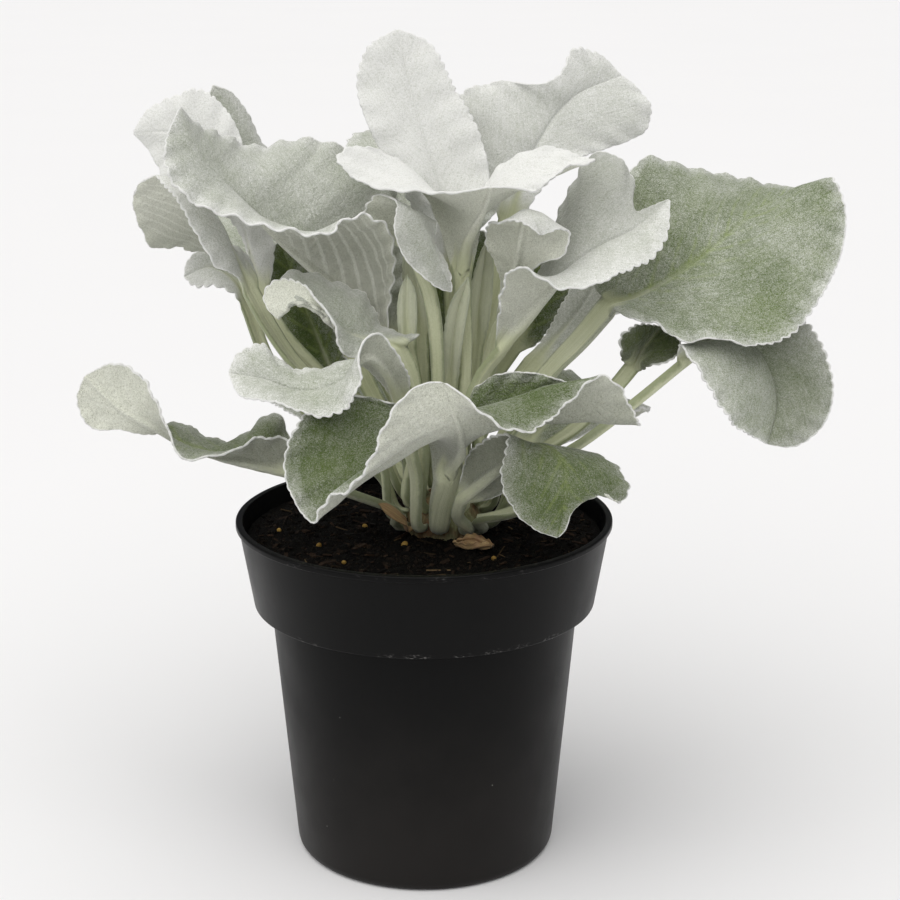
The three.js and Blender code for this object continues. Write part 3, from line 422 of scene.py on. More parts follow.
        "stalk": [(21, 214, 24), (33, 244, 29)],
        "rib": [(44, 262, 30), (54, 279, 33), (61, 296, 37), (67, 312, 40), (70, 324, 42)],
        "left": [(42, 274, 34), (46, 292, 38), (55, 312, 42)],
        "right": [(56, 265, 34), (67, 280, 37), (73, 297, 41), (75, 314, 43)],
        "half_width": 4.5,
        "foot_half_width": 2.2,
    },
    "leaf_rear_left": {
        "foot": (134, 78),
        "stalk": [(-8, 206, 34), (-26, 240, 52), (-40, 270, 66)],
        "rib": [(-47, 286, 76), (-56, 306, 92), (-66, 324, 112), (-74, 334, 134), (-80, 328, 156)],
        "left": [(-60, 284, 76), (-86, 296, 88), (-104, 314, 110), (-102, 328, 138)],
        "right": [(-36, 296, 80), (-32, 322, 100), (-38, 344, 124), (-58, 346, 150)],
        "half_width": 6,
    },
    "leaf_rear": {
        "foot": (88, 78),
        "stalk": [(12, 210, 36), (14, 258, 54), (12, 298, 68)],
        "rib": [(10, 316, 76), (8, 340, 86), (5, 360, 102), (4, 368, 124), (4, 360, 146)],
        "left": [(-6, 320, 74), (-26, 342, 84), (-36, 362, 104), (-26, 368, 132)],
        "right": [(26, 320, 74), (44, 344, 82), (46, 362, 106), (32, 366, 134)],
        "half_width": 7,
    },
    "leaf_rear_right": {
        "foot": (40, 78),
        "stalk": [(32, 204, 32), (54, 236, 50), (70, 266, 64)],
        "rib": [(78, 280, 74), (90, 300, 90), (102, 316, 110), (112, 322, 132), (116, 312, 152)],
        "left": [(68, 288, 80), (70, 314, 102), (82, 334, 128), (102, 330, 150)],
        "right": [(92, 278, 70), (114, 290, 84), (130, 304, 108), (132, 308, 136)],
        "half_width": 7,
    },
    "leaf_rear_low": {
        "foot": (112, 80),
        "stalk": [(-1, 188, 36), (-16, 204, 58)],
        "rib": [(-28, 218, 74), (-36, 234, 90), (-44, 244, 110), (-50, 242, 130), (-54, 230, 146)],
        "left": [(-42, 216, 78), (-64, 228, 96), (-78, 238, 118), (-70, 236, 140)],
        "right": [(-17, 226, 82), (-14, 244, 102), (-22, 254, 124), (-38, 244, 142)],
        "half_width": 4.5,
    },
    "leaf_rear_low_right": {
        "foot": (62, 80),
        "stalk": [(26, 186, 36), (40, 200, 54)],
        "rib": [(50, 212, 68), (64, 226, 82), (78, 236, 98), (90, 236, 116), (98, 224, 130)],
        "left": [(43, 222, 76), (50, 242, 96), (64, 252, 116), (84, 242, 130)],
        "right": [(62, 210, 66), (86, 220, 76), (106, 230, 92), (112, 230, 114)],
        "half_width": 4.5,
    },
}

DRY_STUB = {
    "foot": (-138, 84),
    "stalk": [(-9, 172, -20)],
    "rib": [(-12, 174, -23), (-17, 178, -25), (-23, 182, -26)],
    "left": [(-15, 173, -26), (-20, 177, -27)],
    "right": [(-13, 178, -21), (-19, 182, -23)],
    "half_width": 2.6,
    "depth": 0.6,
    "teeth": 0,
}

# How each leaf differs in finish: how far its felt has thinned with age, how strongly its side veins
# stand out, how tall the ripples of its margin are in millimetres, and how much shade is painted on
# the left and right half above, and the left and right half below, where less than 1 paints shade.
LEAF_LOOK = {
    "leaf_spoon": (0.1, 0.35, 0.5, 1.0, 1.0, 1.0, 1.0),
    "leaf_cup": (0.06, 0.12, 0.6, 1.0, 1.0, 1.15, 1.15),
    "leaf_back_right": (0.2, 0.35, 0.8, 1.0, 1.0, 1.0, 1.0),
    "leaf_mid_right": (0.26, 0.2, 0.8, 0.62, 1.0, 1.0, 1.0),
    "leaf_big_right": (0.76, 0.8, 1.0, 0.85, 0.95, 0.8, 0.8),
    "leaf_droop_right": (0.58, 0.6, 1.0, 0.62, 0.95, 0.8, 0.8),
    "leaf_curl_right": (0.22, 0.3, 0.8, 0.85, 0.85, 0.95, 0.95),
    "leaf_tongue": (0.3, 0.3, 0.7, 0.65, 0.65, 0.8, 0.8),
    "leaf_big_left": (0.4, 2.0, 1.3, 1.0, 0.92, 0.85, 0.85),
    "leaf_left_shade": (0.2, 1.0, 0.9, 1.1, 1.0, 1.3, 0.55),
    "leaf_top_left": (0.08, 0.4, 0.8, 1.0, 1.0, 1.0, 1.0),
    "leaf_back_left": (0.35, 0.4, 0.7, 0.85, 0.85, 0.8, 0.8),
    "leaf_left_back": (0.25, 0.6, 0.8, 0.9, 0.9, 0.8, 0.8),
    "leaf_inner_left": (1.0, 0.5, 0.6, 0.62, 0.62, 0.6, 0.6),
    "leaf_wave_upper": (0.42, 0.25, 1.0, 0.85, 0.8, 1.0, 1.0),
    "leaf_wave_lower": (0.45, 0.3, 1.0, 1.0, 1.0, 0.9, 0.9),
    "leaf_front": (0.88, 0.3, 1.0, 0.66, 0.66, 0.5, 0.5),
    "leaf_front_right": (0.86, 0.4, 0.9, 0.62, 0.6, 0.3, 0.3),
    "leaf_low_left": (0.78, 0.35, 1.0, 0.75, 0.62, 0.35, 0.5),
    "leaf_right_inner": (0.3, 0.8, 0.6, 0.9, 0.9, 0.8, 0.8),
    "leaf_small_right": (0.98, 0.4, 0.8, 0.25, 0.25, 0.8, 0.8),
    "leaf_low_right": (0.85, 0.5, 0.5, 0.6, 0.6, 0.5, 0.5),
    "leaf_young_front": (0.3, 0.2, 0.3, 0.9, 0.9, 0.9, 0.9),
    "leaf_young_right": (0.3, 0.2, 0.3, 0.8, 0.8, 0.8, 0.8),
    "leaf_young_left": (0.3, 0.2, 0.3, 1.0, 1.0, 1.0, 1.0),
    "leaf_young_middle": (0.25, 0.2, 0.3, 1.0, 1.0, 1.0, 1.0),
    "leaf_inner_back": (0.9, 0.5, 0.6, 0.5, 0.5, 0.5, 0.5),
    "leaf_inner_right": (0.95, 0.5, 0.5, 0.6, 0.6, 0.5, 0.5),
    "leaf_rear_left": (0.55, 0.45, 1.0, 1.0, 1.0, 0.8, 0.8),
    "leaf_rear": (0.45, 0.45, 1.0, 1.0, 1.0, 0.8, 0.8),
    "leaf_rear_right": (0.6, 0.45, 1.0, 1.0, 1.0, 0.8, 0.8),
    "leaf_rear_low": (0.7, 0.45, 0.9, 0.9, 0.9, 0.7, 0.7),
    "leaf_rear_low_right": (0.7, 0.45, 0.9, 0.9, 0.9, 0.7, 0.7),
}
DRY_LOOK = (0.0, 0.3, 0.3, 1.0, 1.0, 1.0, 1.0)


def length(name, description, default):
    """A size that a user can change."""
    return bpy.props.FloatProperty(name=name, description=description, default=default, unit="LENGTH")


def amount(name, description, default):
    """A density or a strength that a user can change."""
    return bpy.props.FloatProperty(name=name, description=description, default=default)


def count(name, description, default, least=0):
    """A whole number that a user can change."""
    return bpy.props.IntProperty(name=name, description=description, default=default, min=least)


def colour(name, description, default):
    """A colour that a user can change."""
    return bpy.props.FloatVectorProperty(
        name=name, description=description, default=default, subtype="COLOR"
    )


class PotSizes(bpy.types.PropertyGroup):
    """Sizes and colour of the nursery pot."""

    sides: count("Sides", "Faces around the pot", 160, 24)
    rounding: count("Rounding", "Faces across each rounded edge", 4, 1)
    plastic: colour("Plastic", "Colour of the moulded plastic", (0.0018, 0.0018, 0.0018))


class MixSizes(bpy.types.PropertyGroup):
    """Sizes and colour of the potting mix and of what lies in it."""

    sides: count("Sides", "Faces around the mix", 220, 24)
    rings: count("Rings", "Rings of faces on the surface", 96, 8)
    lumps: length("Lumps", "Height of the surface's lumps", 0.0022)
    crumbs: amount("Crumbs", "Number of crumbs on a square metre", 90000.0)
    crumb_size: length("Crumb size", "Mean radius of a crumb", 0.0009)
    chips: amount("Chips", "Number of bark chips on a square metre", 16000.0)
    chip_size: length("Chip size", "Mean half length of a bark chip", 0.0026)
    fibres: amount("Fibres", "Number of straws on a square metre", 2600.0)
    fibre_size: length("Fibre length", "Mean half length of a straw", 0.0042)
    pellets: amount("Pellets", "Number of feed pellets on a square metre", 190.0)
    pellet_size: length("Pellet size", "Least radius of a pellet", 0.0012)
    seed: count("Seed", "Seed of the scatter", 7)
    peat: colour("Peat", "Colour of the damp peat", (0.0012, 0.0009, 0.0007))


class LeafSizes(bpy.types.PropertyGroup):
    """Sizes of the leaves' detail."""

    row: length("Row", "Length of a face along the longest margin", 0.00115)
    blade: length("Blade", "Thickness of the blade with its felt", 0.00084)
    rim: length("Rim", "Radius of the felted rim", 0.0005)
    tooth: length("Tooth", "Depth of the margin's round teeth", 0.0017)
    tooth_pitch: length("Tooth pitch", "Distance from tooth to tooth", 0.0046)
    ripple_length: length("Ripple", "Length of the margin's ripples", 0.0125)
    vein_pitch: length("Vein pitch", "Distance between side veins", 0.0115)
    vein_height: length("Vein height", "How far a side vein stands out below", 0.0006)


class FeltColours(bpy.types.PropertyGroup):
    """Colours of the living leaves."""

    felt: colour("Felt", "Dense white felt", (0.80, 0.805, 0.785))
    felt_shade: colour("Worn felt", "Thinner, greyer felt", (0.48, 0.495, 0.42))
    green: colour("Green", "Leaf below the felt", (0.078, 0.125, 0.022))
    lime: colour("Lime", "Ribs of old leaves", (0.33, 0.41, 0.13))
    under: colour("Underside", "Felt of the underside", (0.46, 0.46, 0.385))
    under_felt: colour("Underside felt", "Dense felt below", (0.785, 0.805, 0.705))
    stalk: colour("Stalk", "Flesh of the stalks", (0.43, 0.47, 0.23))
    stalk_hair: colour("Stalk hair", "Down on the stalks", (0.76, 0.78, 0.58))


class StageLook(bpy.types.PropertyGroup):
    """Light and floor around the plant."""

    floor: colour("Floor", "Colour of the floor", (0.86, 0.86, 0.87))
    sky: amount("Sky", "Strength of the light all round", 0.16)
    key: amount("Key", "Strength of the large lamp", 3.3)


def new_node(tree, kind, settings=None, sockets=None):
    """A node of a kind with its settings, then its sockets' values or links."""
    made = tree.nodes.new(kind)
    for key, value in (settings or {}).items():
        setattr(made, key, value)
    for key, value in (sockets or {}).items():
        if isinstance(value, bpy.types.NodeSocket):
            tree.links.new(value, made.inputs[key])
        else:
            made.inputs[key].default_value = value
    return made


class Value:
    """A socket of a finish, so that a sum written on it adds the nodes that work it out."""

    def __init__(self, finish, socket):
        self.finish = finish
        self.socket = socket

    def __add__(self, other):
        return self.finish.math("ADD", self, other)

    def __sub__(self, other):
        return self.finish.math("SUBTRACT", self, other)

    def __rsub__(self, other):
        return self.finish.math("SUBTRACT", other, self)

    def __mul__(self, other):
        return self.finish.math("MULTIPLY", self, other)

    __radd__ = __add__


class Finish:
    """A material, and the few ways in which its nodes are made."""

    def __init__(self, name):
        self.material = bpy.data.materials.new(name)
        self.material.use_nodes = True
        self.tree = self.material.node_tree
        self.tree.nodes.clear()

    def node(self, kind, settings=None, sockets=None, out=0):
        """A node whose sockets take numbers, colours or values of this finish; gives one output."""
        plain = {key: v.socket if isinstance(v, Value) else v for key, v in (sockets or {}).items()}
        made = new_node(self.tree, kind, settings, plain)
        return Value(self, made.outputs[out]) if made.outputs else made

    def math(self, operation, *values):
        return self.node("ShaderNodeMath", {"operation": operation}, dict(enumerate(values)))

    def clamp(self, value):
        return self.node("ShaderNodeClamp", None, {"Value": value})

    def smooth(self, value, low, high):
        """0 below low and 1 above high, or the other way round, with a soft passage between."""
        sockets = {"Value": value, "From Min": low, "From Max": high}
        return self.node("ShaderNodeMapRange", {"interpolation_type": "SMOOTHSTEP"}, sockets)

    def bell(self, value, width):
        """1 where the value is 0, falling off on both sides within the width."""
        return self.smooth(self.math("ABSOLUTE", value), width, 0.0)

    def mix(self, share, first, second):
        """A colour between two colours."""
        settings = {"data_type": "RGBA", "clamp_factor": True}
        pair = [c if isinstance(c, Value) else (*c, 1.0) for c in (first, second)]
        return self.node("ShaderNodeMix", settings, {0: share, 6: pair[0], 7: pair[1]}, out=2)

    def read(self, name):
        """A number that the piece's points carry."""
        return self.node("ShaderNodeAttribute", {"attribute_name": name}, out="Fac")

    def place(self, stretch=(1, 1, 1)):
        """The place on the piece in millimetres, stretched along its axes."""
        spot = self.node("ShaderNodeTexCoord", out="Object")
        scale = tuple(s / MM for s in stretch)
        return self.node("ShaderNodeVectorMath", {"operation": "MULTIPLY"}, {0: spot, 1: scale})

    def joined(self, x, y, z):
        return self.node("ShaderNodeCombineXYZ", None, {0: x, 1: y, 2: z})

    def noise(self, place, size, detail=2.0, roughness=0.5, warp=0.0):
        """Soft noise around 0, with spots of about that many millimetres."""
        sockets = {"Vector": place, "Scale": 1 / size, "Detail": detail, "Roughness": roughness}
        sockets["Distortion"] = warp
        return self.node("ShaderNodeTexNoise", None, sockets, out="Fac") - 0.5

    def cells(self, place, size, feature):
        """Distance in a pattern of cells of about that many millimetres: from their points or borders."""
        sockets = {"Vector": place, "Scale": 1 / size}
        return self.node("ShaderNodeTexVoronoi", {"feature": feature}, sockets, out="Distance")

    def surface(self, colour, roughness, height=None, **constants):
        """Ends the material: colour, roughness, relief in millimetres, and what is the same all over."""
        sockets = {"Base Color": colour, "Roughness": roughness}
        if height is not None:
            relief = {"Strength": 1.0, "Distance": MM, "Height": height}
            sockets["Normal"] = self.node("ShaderNodeBump", None, relief)
        sockets.update({name.replace("_", " "): value for name, value in constants.items()})
        shader = self.node("ShaderNodeBsdfPrincipled", None, sockets)
        self.node("ShaderNodeOutputMaterial", None, {"Surface": shader})
        return self.material


# Sizes in the felt, in millimetres: its net, its patches, its mottle, its grain and its fibres.
FELT_NET = 3.6
FELT_PATCH = 30
FELT_MOTTLE = 5
FELT_GRAIN = 0.8
FELT_FIBRE = 0.4
# Half widths: of a side vein's line as a share of the veins' pitch, and in millimetres of the pale
# rib, of the lime glow along it and of the dark thread in it.
VEIN_LINE = 0.2
PALE_RIB = 1.7
RIB_GLOW = 3.4
RIB_THREAD = 0.5
# How far from the collar's edge the plastic is rubbed, and how high the painted light of the foot reaches.
RUBBED_WIDTH = 2.4
PAINTED_LIGHT_HEIGHT = 125.0
# What the points of a leaf carry: how old it is, whether they lie on the upper face, how far they are
# from the margin, from the rib and from the blade's foot, whether they are on the blade, where they
# are between two veins, how much shade is painted on them, and how strongly the veins stand out.
LEAF_FACTS = ("age", "upper", "rim", "across", "along", "blade", "vein", "tone", "ribbed")

# Colours of the finishes that a user leaves as they are.
# The colour of the shade painted on the leaves.
DEEP_SHADE = (0.05, 0.062, 0.022)
PALE_STRAW = (0.50, 0.36, 0.17)
DARK_STRAW = (0.22, 0.12, 0.055)
RUSSET = (0.36, 0.20, 0.12)
PALE_FLESH = (0.34, 0.36, 0.20)
DARK_FLESH = (0.16, 0.15, 0.07)
PALE_SKIN = (0.30, 0.16, 0.07)
DARK_SKIN = (0.09, 0.045, 0.02)
# The light painted on the pot's lower part, as if from the pale floor.
FOOT_PAINTED_LIGHT = (0.0155, 0.0140, 0.0130)
SCUFF = (0.34, 0.33, 0.32)
SPECK = (0.42, 0.41, 0.38)
PEAT_LUMP = (0.0036, 0.0026, 0.0018)
PEAT_FIBRE = (0.03, 0.02, 0.012)


def leaf_values(f):
    """The facts that a leaf's points carry, and the noises and lines that its finish is made of."""
    v = SimpleNamespace(**{name: f.read(name) for name in LEAF_FACTS})
    v.place = f.place()
    v.patch = f.noise(v.place, FELT_PATCH, 2)
    v.mottle = f.noise(v.place, FELT_MOTTLE, 3, 0.6)
    v.grain = f.noise(v.place, FELT_GRAIN, 2, 0.65)
    v.fine = f.noise(v.place, FELT_FIBRE, 1, 0.5)
    v.net = f.smooth(f.cells(v.place, FELT_NET, "DISTANCE_TO_EDGE"), 0.0, 0.22)
    v.crease = f.noise(f.joined(v.vein * 7.0, v.across * 0.12, v.upper * 9.0), 1.0, 3, 0.65)
    v.streak = f.noise(f.joined(v.across * 2.6, v.along * 0.04, v.upper * 5.0), 1.6, 3, 0.55)
    v.off_rib = f.math("ABSOLUTE", v.across)
    v.vein_line = f.bell(f.math("PINGPONG", v.vein, 0.5), VEIN_LINE) * v.blade
    passage = f.smooth(v.along * 0.7 + v.off_rib * 5.0 + v.mottle * 8.0, 0.0, 30.0) * v.blade
    v.passage = f.math("MAXIMUM", passage, f.smooth(v.off_rib + v.mottle * 2.0, 5.5, 9.0))
    return v


def upper_face(f, v, colours):
    """Felt that wears through to the green flesh with age, but stays dense along the margin."""
    age = v.age
    ancient = f.smooth(age, 0.8, 1.0)
    thick_rim = f.smooth(v.rim + v.mottle * 7.0, 9.0, 0.0)
    thin = age + v.patch * age * 1.1 + v.mottle * (age * 0.3 + 0.10) - thick_rim * age * 0.4
    speckle = v.grain * 0.6 + v.fine * 2.0 + v.crease * 0.5
    speckle = speckle * (age * 0.6 + 0.2) - (v.net - 0.8) * age * 0.10
    bare = f.clamp(thin * (ancient * 0.22 + 0.80) + speckle - 0.04)
    worn = f.clamp(thin * 0.9 + v.grain * 0.9 + v.crease * 0.5)
    felt = f.mix(worn, colours.felt, colours.felt_shade)
    flesh = f.mix(f.clamp(f.noise(v.place, 16, 2) * 2.2 + 0.2), colours.green, colours.lime)
    return f.mix(bare, felt, f.mix(0.2, colours.green, flesh))


def ribs_above(f, v, colours, top):
    """The upper face with the rib in it: lime on an old leaf, pale at its foot, with a dark thread."""
    old = f.smooth(v.age, 0.5, 0.95)
    glow = f.bell(v.across + v.mottle * 4.0, RIB_GLOW) * f.smooth(v.along, 110.0, 30.0) * v.blade * old
    branch = v.vein_line * f.smooth(v.off_rib + v.mottle * 24.0, 26.0, 4.0)
    branch = branch * f.smooth(v.mottle, -0.16, 0.1)
    top = f.mix(f.clamp(glow * 0.75 + branch * old * 0.5), top, colours.lime)
    pale_rib = f.bell(v.across + v.crease, PALE_RIB) * f.smooth(v.along + v.mottle * 20.0, 55.0, 12.0)
    top = f.mix(pale_rib * v.blade * 0.5, top, [c * 0.8 for c in colours.felt])
    thread = f.bell(v.across + v.mottle * 2.4 - 0.6, RIB_THREAD) * f.smooth(v.along, 8.0, 30.0) * old
    thread = thread * f.smooth(v.patch + v.grain * 0.5, -0.12, 0.14) * v.blade
    return f.mix(f.clamp(thread * 0.6), top, colours.green)


def under_face(f, v, colours):
    """The felt below, with shade painted in the valleys between its raised veins, paler on the veins partly
    as painted highlight, and pricked where it is thin.
    """
    worn = f.clamp(f.math("ABSOLUTE", v.mottle) * 0.5 + v.grain * 1.2 + v.fine * 0.9 + 0.30)
    under = f.mix(worn, colours.under_felt, colours.under)
    # Painted shade: darker in the valleys between the raised veins and in the creases.
    painted_valley_shade = f.clamp(v.ribbed * (0.5 - v.vein_line) * 0.35 + v.crease * 0.15)
    under = f.mix(painted_valley_shade, under, [c * 0.55 for c in colours.under])
    # Paler lines on the veins: partly the veins' own felt, partly painted highlight.
    under = f.mix(f.clamp(v.vein_line * (v.ribbed * 0.13 + 0.02)), under, colours.felt)
    pricks = f.smooth(v.fine + v.grain * 0.4, 0.10, 0.30) * (v.age * 0.35 + 0.08)
    return f.mix(pricks, under, colours.green)


def stalk_skin(f, v, colours):
    """Pale green flesh under streaky down, with shade painted along the stalk's edges."""
    hair = f.clamp(v.streak * 0.8 + v.grain * 0.5 + v.patch * 0.6 + 0.66)
    stalk = f.mix(hair, colours.stalk, colours.stalk_hair)
    # Painted shade: darker green along the stalk's edges, where neighbouring stalks shade each other.
    edge = f.smooth(v.rim + v.mottle * 2.0, 1.6, 0.2) * (1.0 - v.passage)
    return f.mix(edge * 0.5, stalk, colours.green)


def felted_leaf(colours):
    """White felt over green flesh: dense on young leaves and on rims, thin and speckled on old ones."""
    f = Finish("felted_leaf")
    v = leaf_values(f)
    top = ribs_above(f, v, colours, upper_face(f, v, colours))
    body = f.mix(v.upper, under_face(f, v, colours), top)
    body = f.mix(v.passage, stalk_skin(f, v, colours), body)
    # Painted shade: the leaf is darkened towards a deep shade colour where its painted shade is below 1,
    # and the white rim below is dimmed with it.
    body = f.mix(f.clamp((1.0 - v.tone) * (v.passage * 0.7 + 0.3)), body, DEEP_SHADE)
    white_rim = f.smooth(v.rim + v.grain * 0.5, 1.0, 0.25) * f.smooth(v.blade, 0.35, 0.8)
    body = f.mix(white_rim * (0.72 + v.tone * 0.26), body, colours.felt)
    relief = v.grain * 0.2 + v.fine * 0.16 + v.net * (v.age * 0.22 + 0.04) * v.blade
    relief = relief + v.crease * v.blade * 0.18 + v.streak * (1.0 - v.blade) * 0.10
    relief = relief - v.vein_line * v.upper * 0.05
    rough = f.clamp(0.86 + v.grain * 0.2)
    return f.surface(
        body, rough, relief, Sheen_Weight=0.35, Sheen_Roughness=0.45, Specular_IOR_Level=0.25
    )


def dried_leaf():
    """Papery brown remains with straw-coloured streaks."""
    f = Finish("dry_leaf")
    place = f.place()
    across, along = f.read("across"), f.read("along")
    streak = f.noise(f.joined(across * 2.5, along * 0.12, 0.0), 1.5, 3, 0.6)
    blotch = f.noise(place, 4, 3, 0.6)
    grain = f.noise(place, 0.7, 2, 0.6)
    straw = f.mix(f.clamp(streak * 2.5 + 0.5), PALE_STRAW, DARK_STRAW)
    brown = f.mix(f.clamp(blotch * 3.0 + 0.1), straw, RUSSET)
    return f.surface(brown, 0.75, streak * 0.3 + grain * 0.12, Sheen_Weight=0.1)


def crown_skin():
    """The crown: pale green flesh between the stalks, in torn papery brown skin."""
    f = Finish("crown_skin")
    place = f.place()
    folds = f.noise(f.place((1, 1, 0.25)), 2.2, 3, 0.6, 0.6)
    blotch = f.noise(place, 9, 3, 0.6)
    grain = f.noise(place, 0.7, 2, 0.6)
    flesh = f.mix(f.clamp(folds * 2.5 + 0.5), PALE_FLESH, DARK_FLESH)
    skin = f.mix(f.clamp(folds * 3 + 0.5), PALE_SKIN, DARK_SKIN)
    return f.surface(f.mix(f.clamp(blotch * 4 + 0.5), flesh, skin), 0.7, folds * 0.8 + grain * 0.15)


def pot_plastic(sizes):
    """Semi-matt black plastic with fine moulding grain, dull dust, painted light towards the foot and a few
    scuffs.
    """
    f = Finish("pot_plastic")
    place = f.place()
    height = f.node("ShaderNodeSeparateXYZ", None, {0: place}, out="Z")
    grain = f.noise(place, 0.6, 2, 0.6)
    cloud = f.noise(place, 34, 3, 0.55)
    drag = f.noise(f.place((1, 1, 0.06)), 2.6, 3, 0.6)
    dust = f.clamp(cloud * 1.8 + drag * 0.8 + 0.35)
    skin = f.mix(dust * 0.5, sizes.plastic, [c * 1.8 + 0.002 for c in sizes.plastic])
    # Painted light: the lower pot is lightened as if lit by the pale floor.
    skin = f.mix(f.smooth(height + cloud * 60.0, PAINTED_LIGHT_HEIGHT, 0.0), skin, FOOT_PAINTED_LIGHT)
    collar_edge = f.bell(height - (COLLAR_FOOT + 0.8), RUBBED_WIDTH)
    lip_edge = f.bell(height - (POT_HEIGHT - LIP), 2.0)
    rubbed = f.clamp(f.noise(place, 14, 3, 0.6) * 5.0 - 0.1) * (collar_edge + lip_edge * 0.5)
    scuffs = f.smooth(f.noise(f.place((1, 1, 2.5)), 2.0, 4, 0.7), 0.02, 0.14) * rubbed
    skin = f.mix(scuffs * 0.65, skin, SCUFF)
    specks = f.smooth(f.cells(place, 7.0, "F1"), 0.055, 0.03) * f.smooth(f.noise(place, 30, 2), 0.08, 0.2)
    skin = f.mix(specks * 0.8, skin, SPECK)
    rough = f.clamp(0.38 + cloud * 0.16 + grain * 0.10 + dust * 0.06 + scuffs * 0.2)
    return f.surface(skin, rough, grain * 0.018 + drag * 0.02, Specular_IOR_Level=0.11)


def damp_peat(sizes):
    """Dark, damp peat with brown fibres."""
    f = Finish("damp_peat")
    place = f.place()
    lumps = f.noise(place, 6, 4, 0.65)
    grain = f.noise(place, 1.0, 4, 0.75)
    peat = f.mix(f.clamp(lumps * 2.2 + grain * 1.4 + 0.3), sizes.peat, PEAT_LUMP)
    peat = f.mix(f.smooth(f.noise(place, 1.7, 2, 0.7), 0.17, 0.28), peat, PEAT_FIBRE)
    rough = f.clamp(0.8 + grain * 0.5)
    return f.surface(peat, rough, grain * 0.9 + lumps * 0.8, Specular_IOR_Level=0.12)


def loose_bits(name, dark, pale, roughness):
    """Bark, crumbs, straws or pellets, each lighter or darker by a share drawn at random for it."""
    f = Finish(name)
    grain = f.noise(f.place((1, 0.4, 1)), 0.9, 3, 0.7)
    share = f.clamp(f.read("tone") + grain * 0.5)
    return f.surface(f.mix(share, dark, pale), roughness, grain * 0.35, Specular_IOR_Level=0.15)


def smooth_step(low, high, value):
    share = np.clip((value - low) / (high - low), 0, 1)
    return share * share * (3 - 2 * share)


def unit(vectors):
    size = np.linalg.norm(vectors, axis=-1, keepdims=True)
    return vectors / np.maximum(size, 1e-9)


def drawn(spots):
    """Points of the front elevation, moved along the sight line to their depth behind the axis."""
    spots = np.array(spots, float).reshape(-1, 3)
    on_plane = np.stack([spots[:, 0], np.zeros(len(spots)), spots[:, 1]], axis=1)
    reach = (spots[:, 2] - EYE[1]) / -EYE[1]
    return EYE + (on_plane - EYE) * reach[:, None]


class Track:
    """A smooth curve through points, walked by its length from the point numbered first."""

    SAMPLES = 900

    def __init__(self, points, first=0):
        points = np.array(points, float)
        last = len(points) - 1
        at = np.linspace(first, last, self.SAMPLES)
        start = np.minimum(at.astype(int), last - 1)
        part = (at - start)[:, None]
        ends = np.vstack([2 * points[0] - points[1], points, 2 * points[-1] - points[-2]])
        p0, p1, p2, p3 = (ends[start + k] for k in range(4))
        pairs = ((p0, p1), (p1, p2), (p2, p3))
        d0, d1, d2 = (np.sqrt(np.linalg.norm(b - a, axis=1))[:, None] for a, b in pairs)
        pull1 = d1 * ((p1 - p0) / d0 - (p2 - p0) / (d0 + d1) + (p2 - p1) / d1)
        pull2 = d1 * ((p2 - p1) / d1 - (p3 - p1) / (d1 + d2) + (p3 - p2) / d2)
        square = -3 * p1 + 3 * p2 - 2 * pull1 - pull2
        cube = 2 * p1 - 2 * p2 + pull1 + pull2
        self.spots = p1 + part * (pull1 + part * (square + part * cube))
        steps = np.linalg.norm(np.diff(self.spots, axis=0), axis=1)
        self.run = np.concatenate([[0], np.cumsum(steps)])
        self.length = self.run[-1]

    def at(self, shares):
        goal = np.clip(shares, 0, 1) * self.length
        return np.stack([np.interp(goal, self.run, self.spots[:, k]) for k in range(3)], axis=-1)

    def ahead(self, shares, step):
        """The curve's direction, taken over a step to both sides."""
        return unit(self.at(shares + step) - self.at(shares - step))


def foot_way(bearing, lean):
    """The direction in which a stalk leaves the crown."""
    turn, tilt = math.radians(bearing), math.radians(lean)
    return np.array([math.cos(turn) * math.sin(tilt), math.sin(turn) * math.sin(tilt), math.cos(tilt)])


# Where the columns of faces stand across a half blade: shares of the rib's half width from the rib,
# and millimetres from the margin. They draw together in a blade narrower than the full width.
RIB_COLUMNS = (0.0, 0.35, 0.7, 1.0, 1.6)
MIDDLE_COLUMNS = 8
RIM_COLUMNS = (5.0, 3.0, 1.7, 1.0, 0.52, 0.15, 0.0)
FULL_WIDTH = 16


def column_shares(width, rib_half, half):
    """The columns of each row as shares from rib to margin, for rows of these widths."""
    fit = np.minimum(1, width / FULL_WIDTH)[:, None]
    wide = width[:, None]
    near = np.array(RIB_COLUMNS) * rib_half[:, None] * fit / wide
    far = 1 - np.array(RIM_COLUMNS) * fit / wide
    steps = np.arange(1, MIDDLE_COLUMNS + 1) / (MIDDLE_COLUMNS + 1)
    between = near[:, -1:] + (far[:, :1] - near[:, -1:]) * steps
    blade = np.hstack([near, between, far])
    stalk = np.sin(np.linspace(0, math.pi / 2, blade.shape[1])) * np.ones((len(width), 1))
    return stalk + (blade - stalk) * smooth_step(half, half + 10, wide)


def surface_normals(grid):
    """Directions out of the upper face at each point of the grid."""
    along = np.vstack([grid[1:], grid[-1:]]) - np.vstack([grid[:1], grid[:-1]])
    beside = np.empty_like(grid)
    beside[:, 1:-1] = grid[:, 2:] - grid[:, :-2]
    beside[:, 0] = grid[:, 1] - grid[:, 0]
    beside[:, -1] = grid[:, -1] - grid[:, -2]
    return unit(np.cross(beside, along))


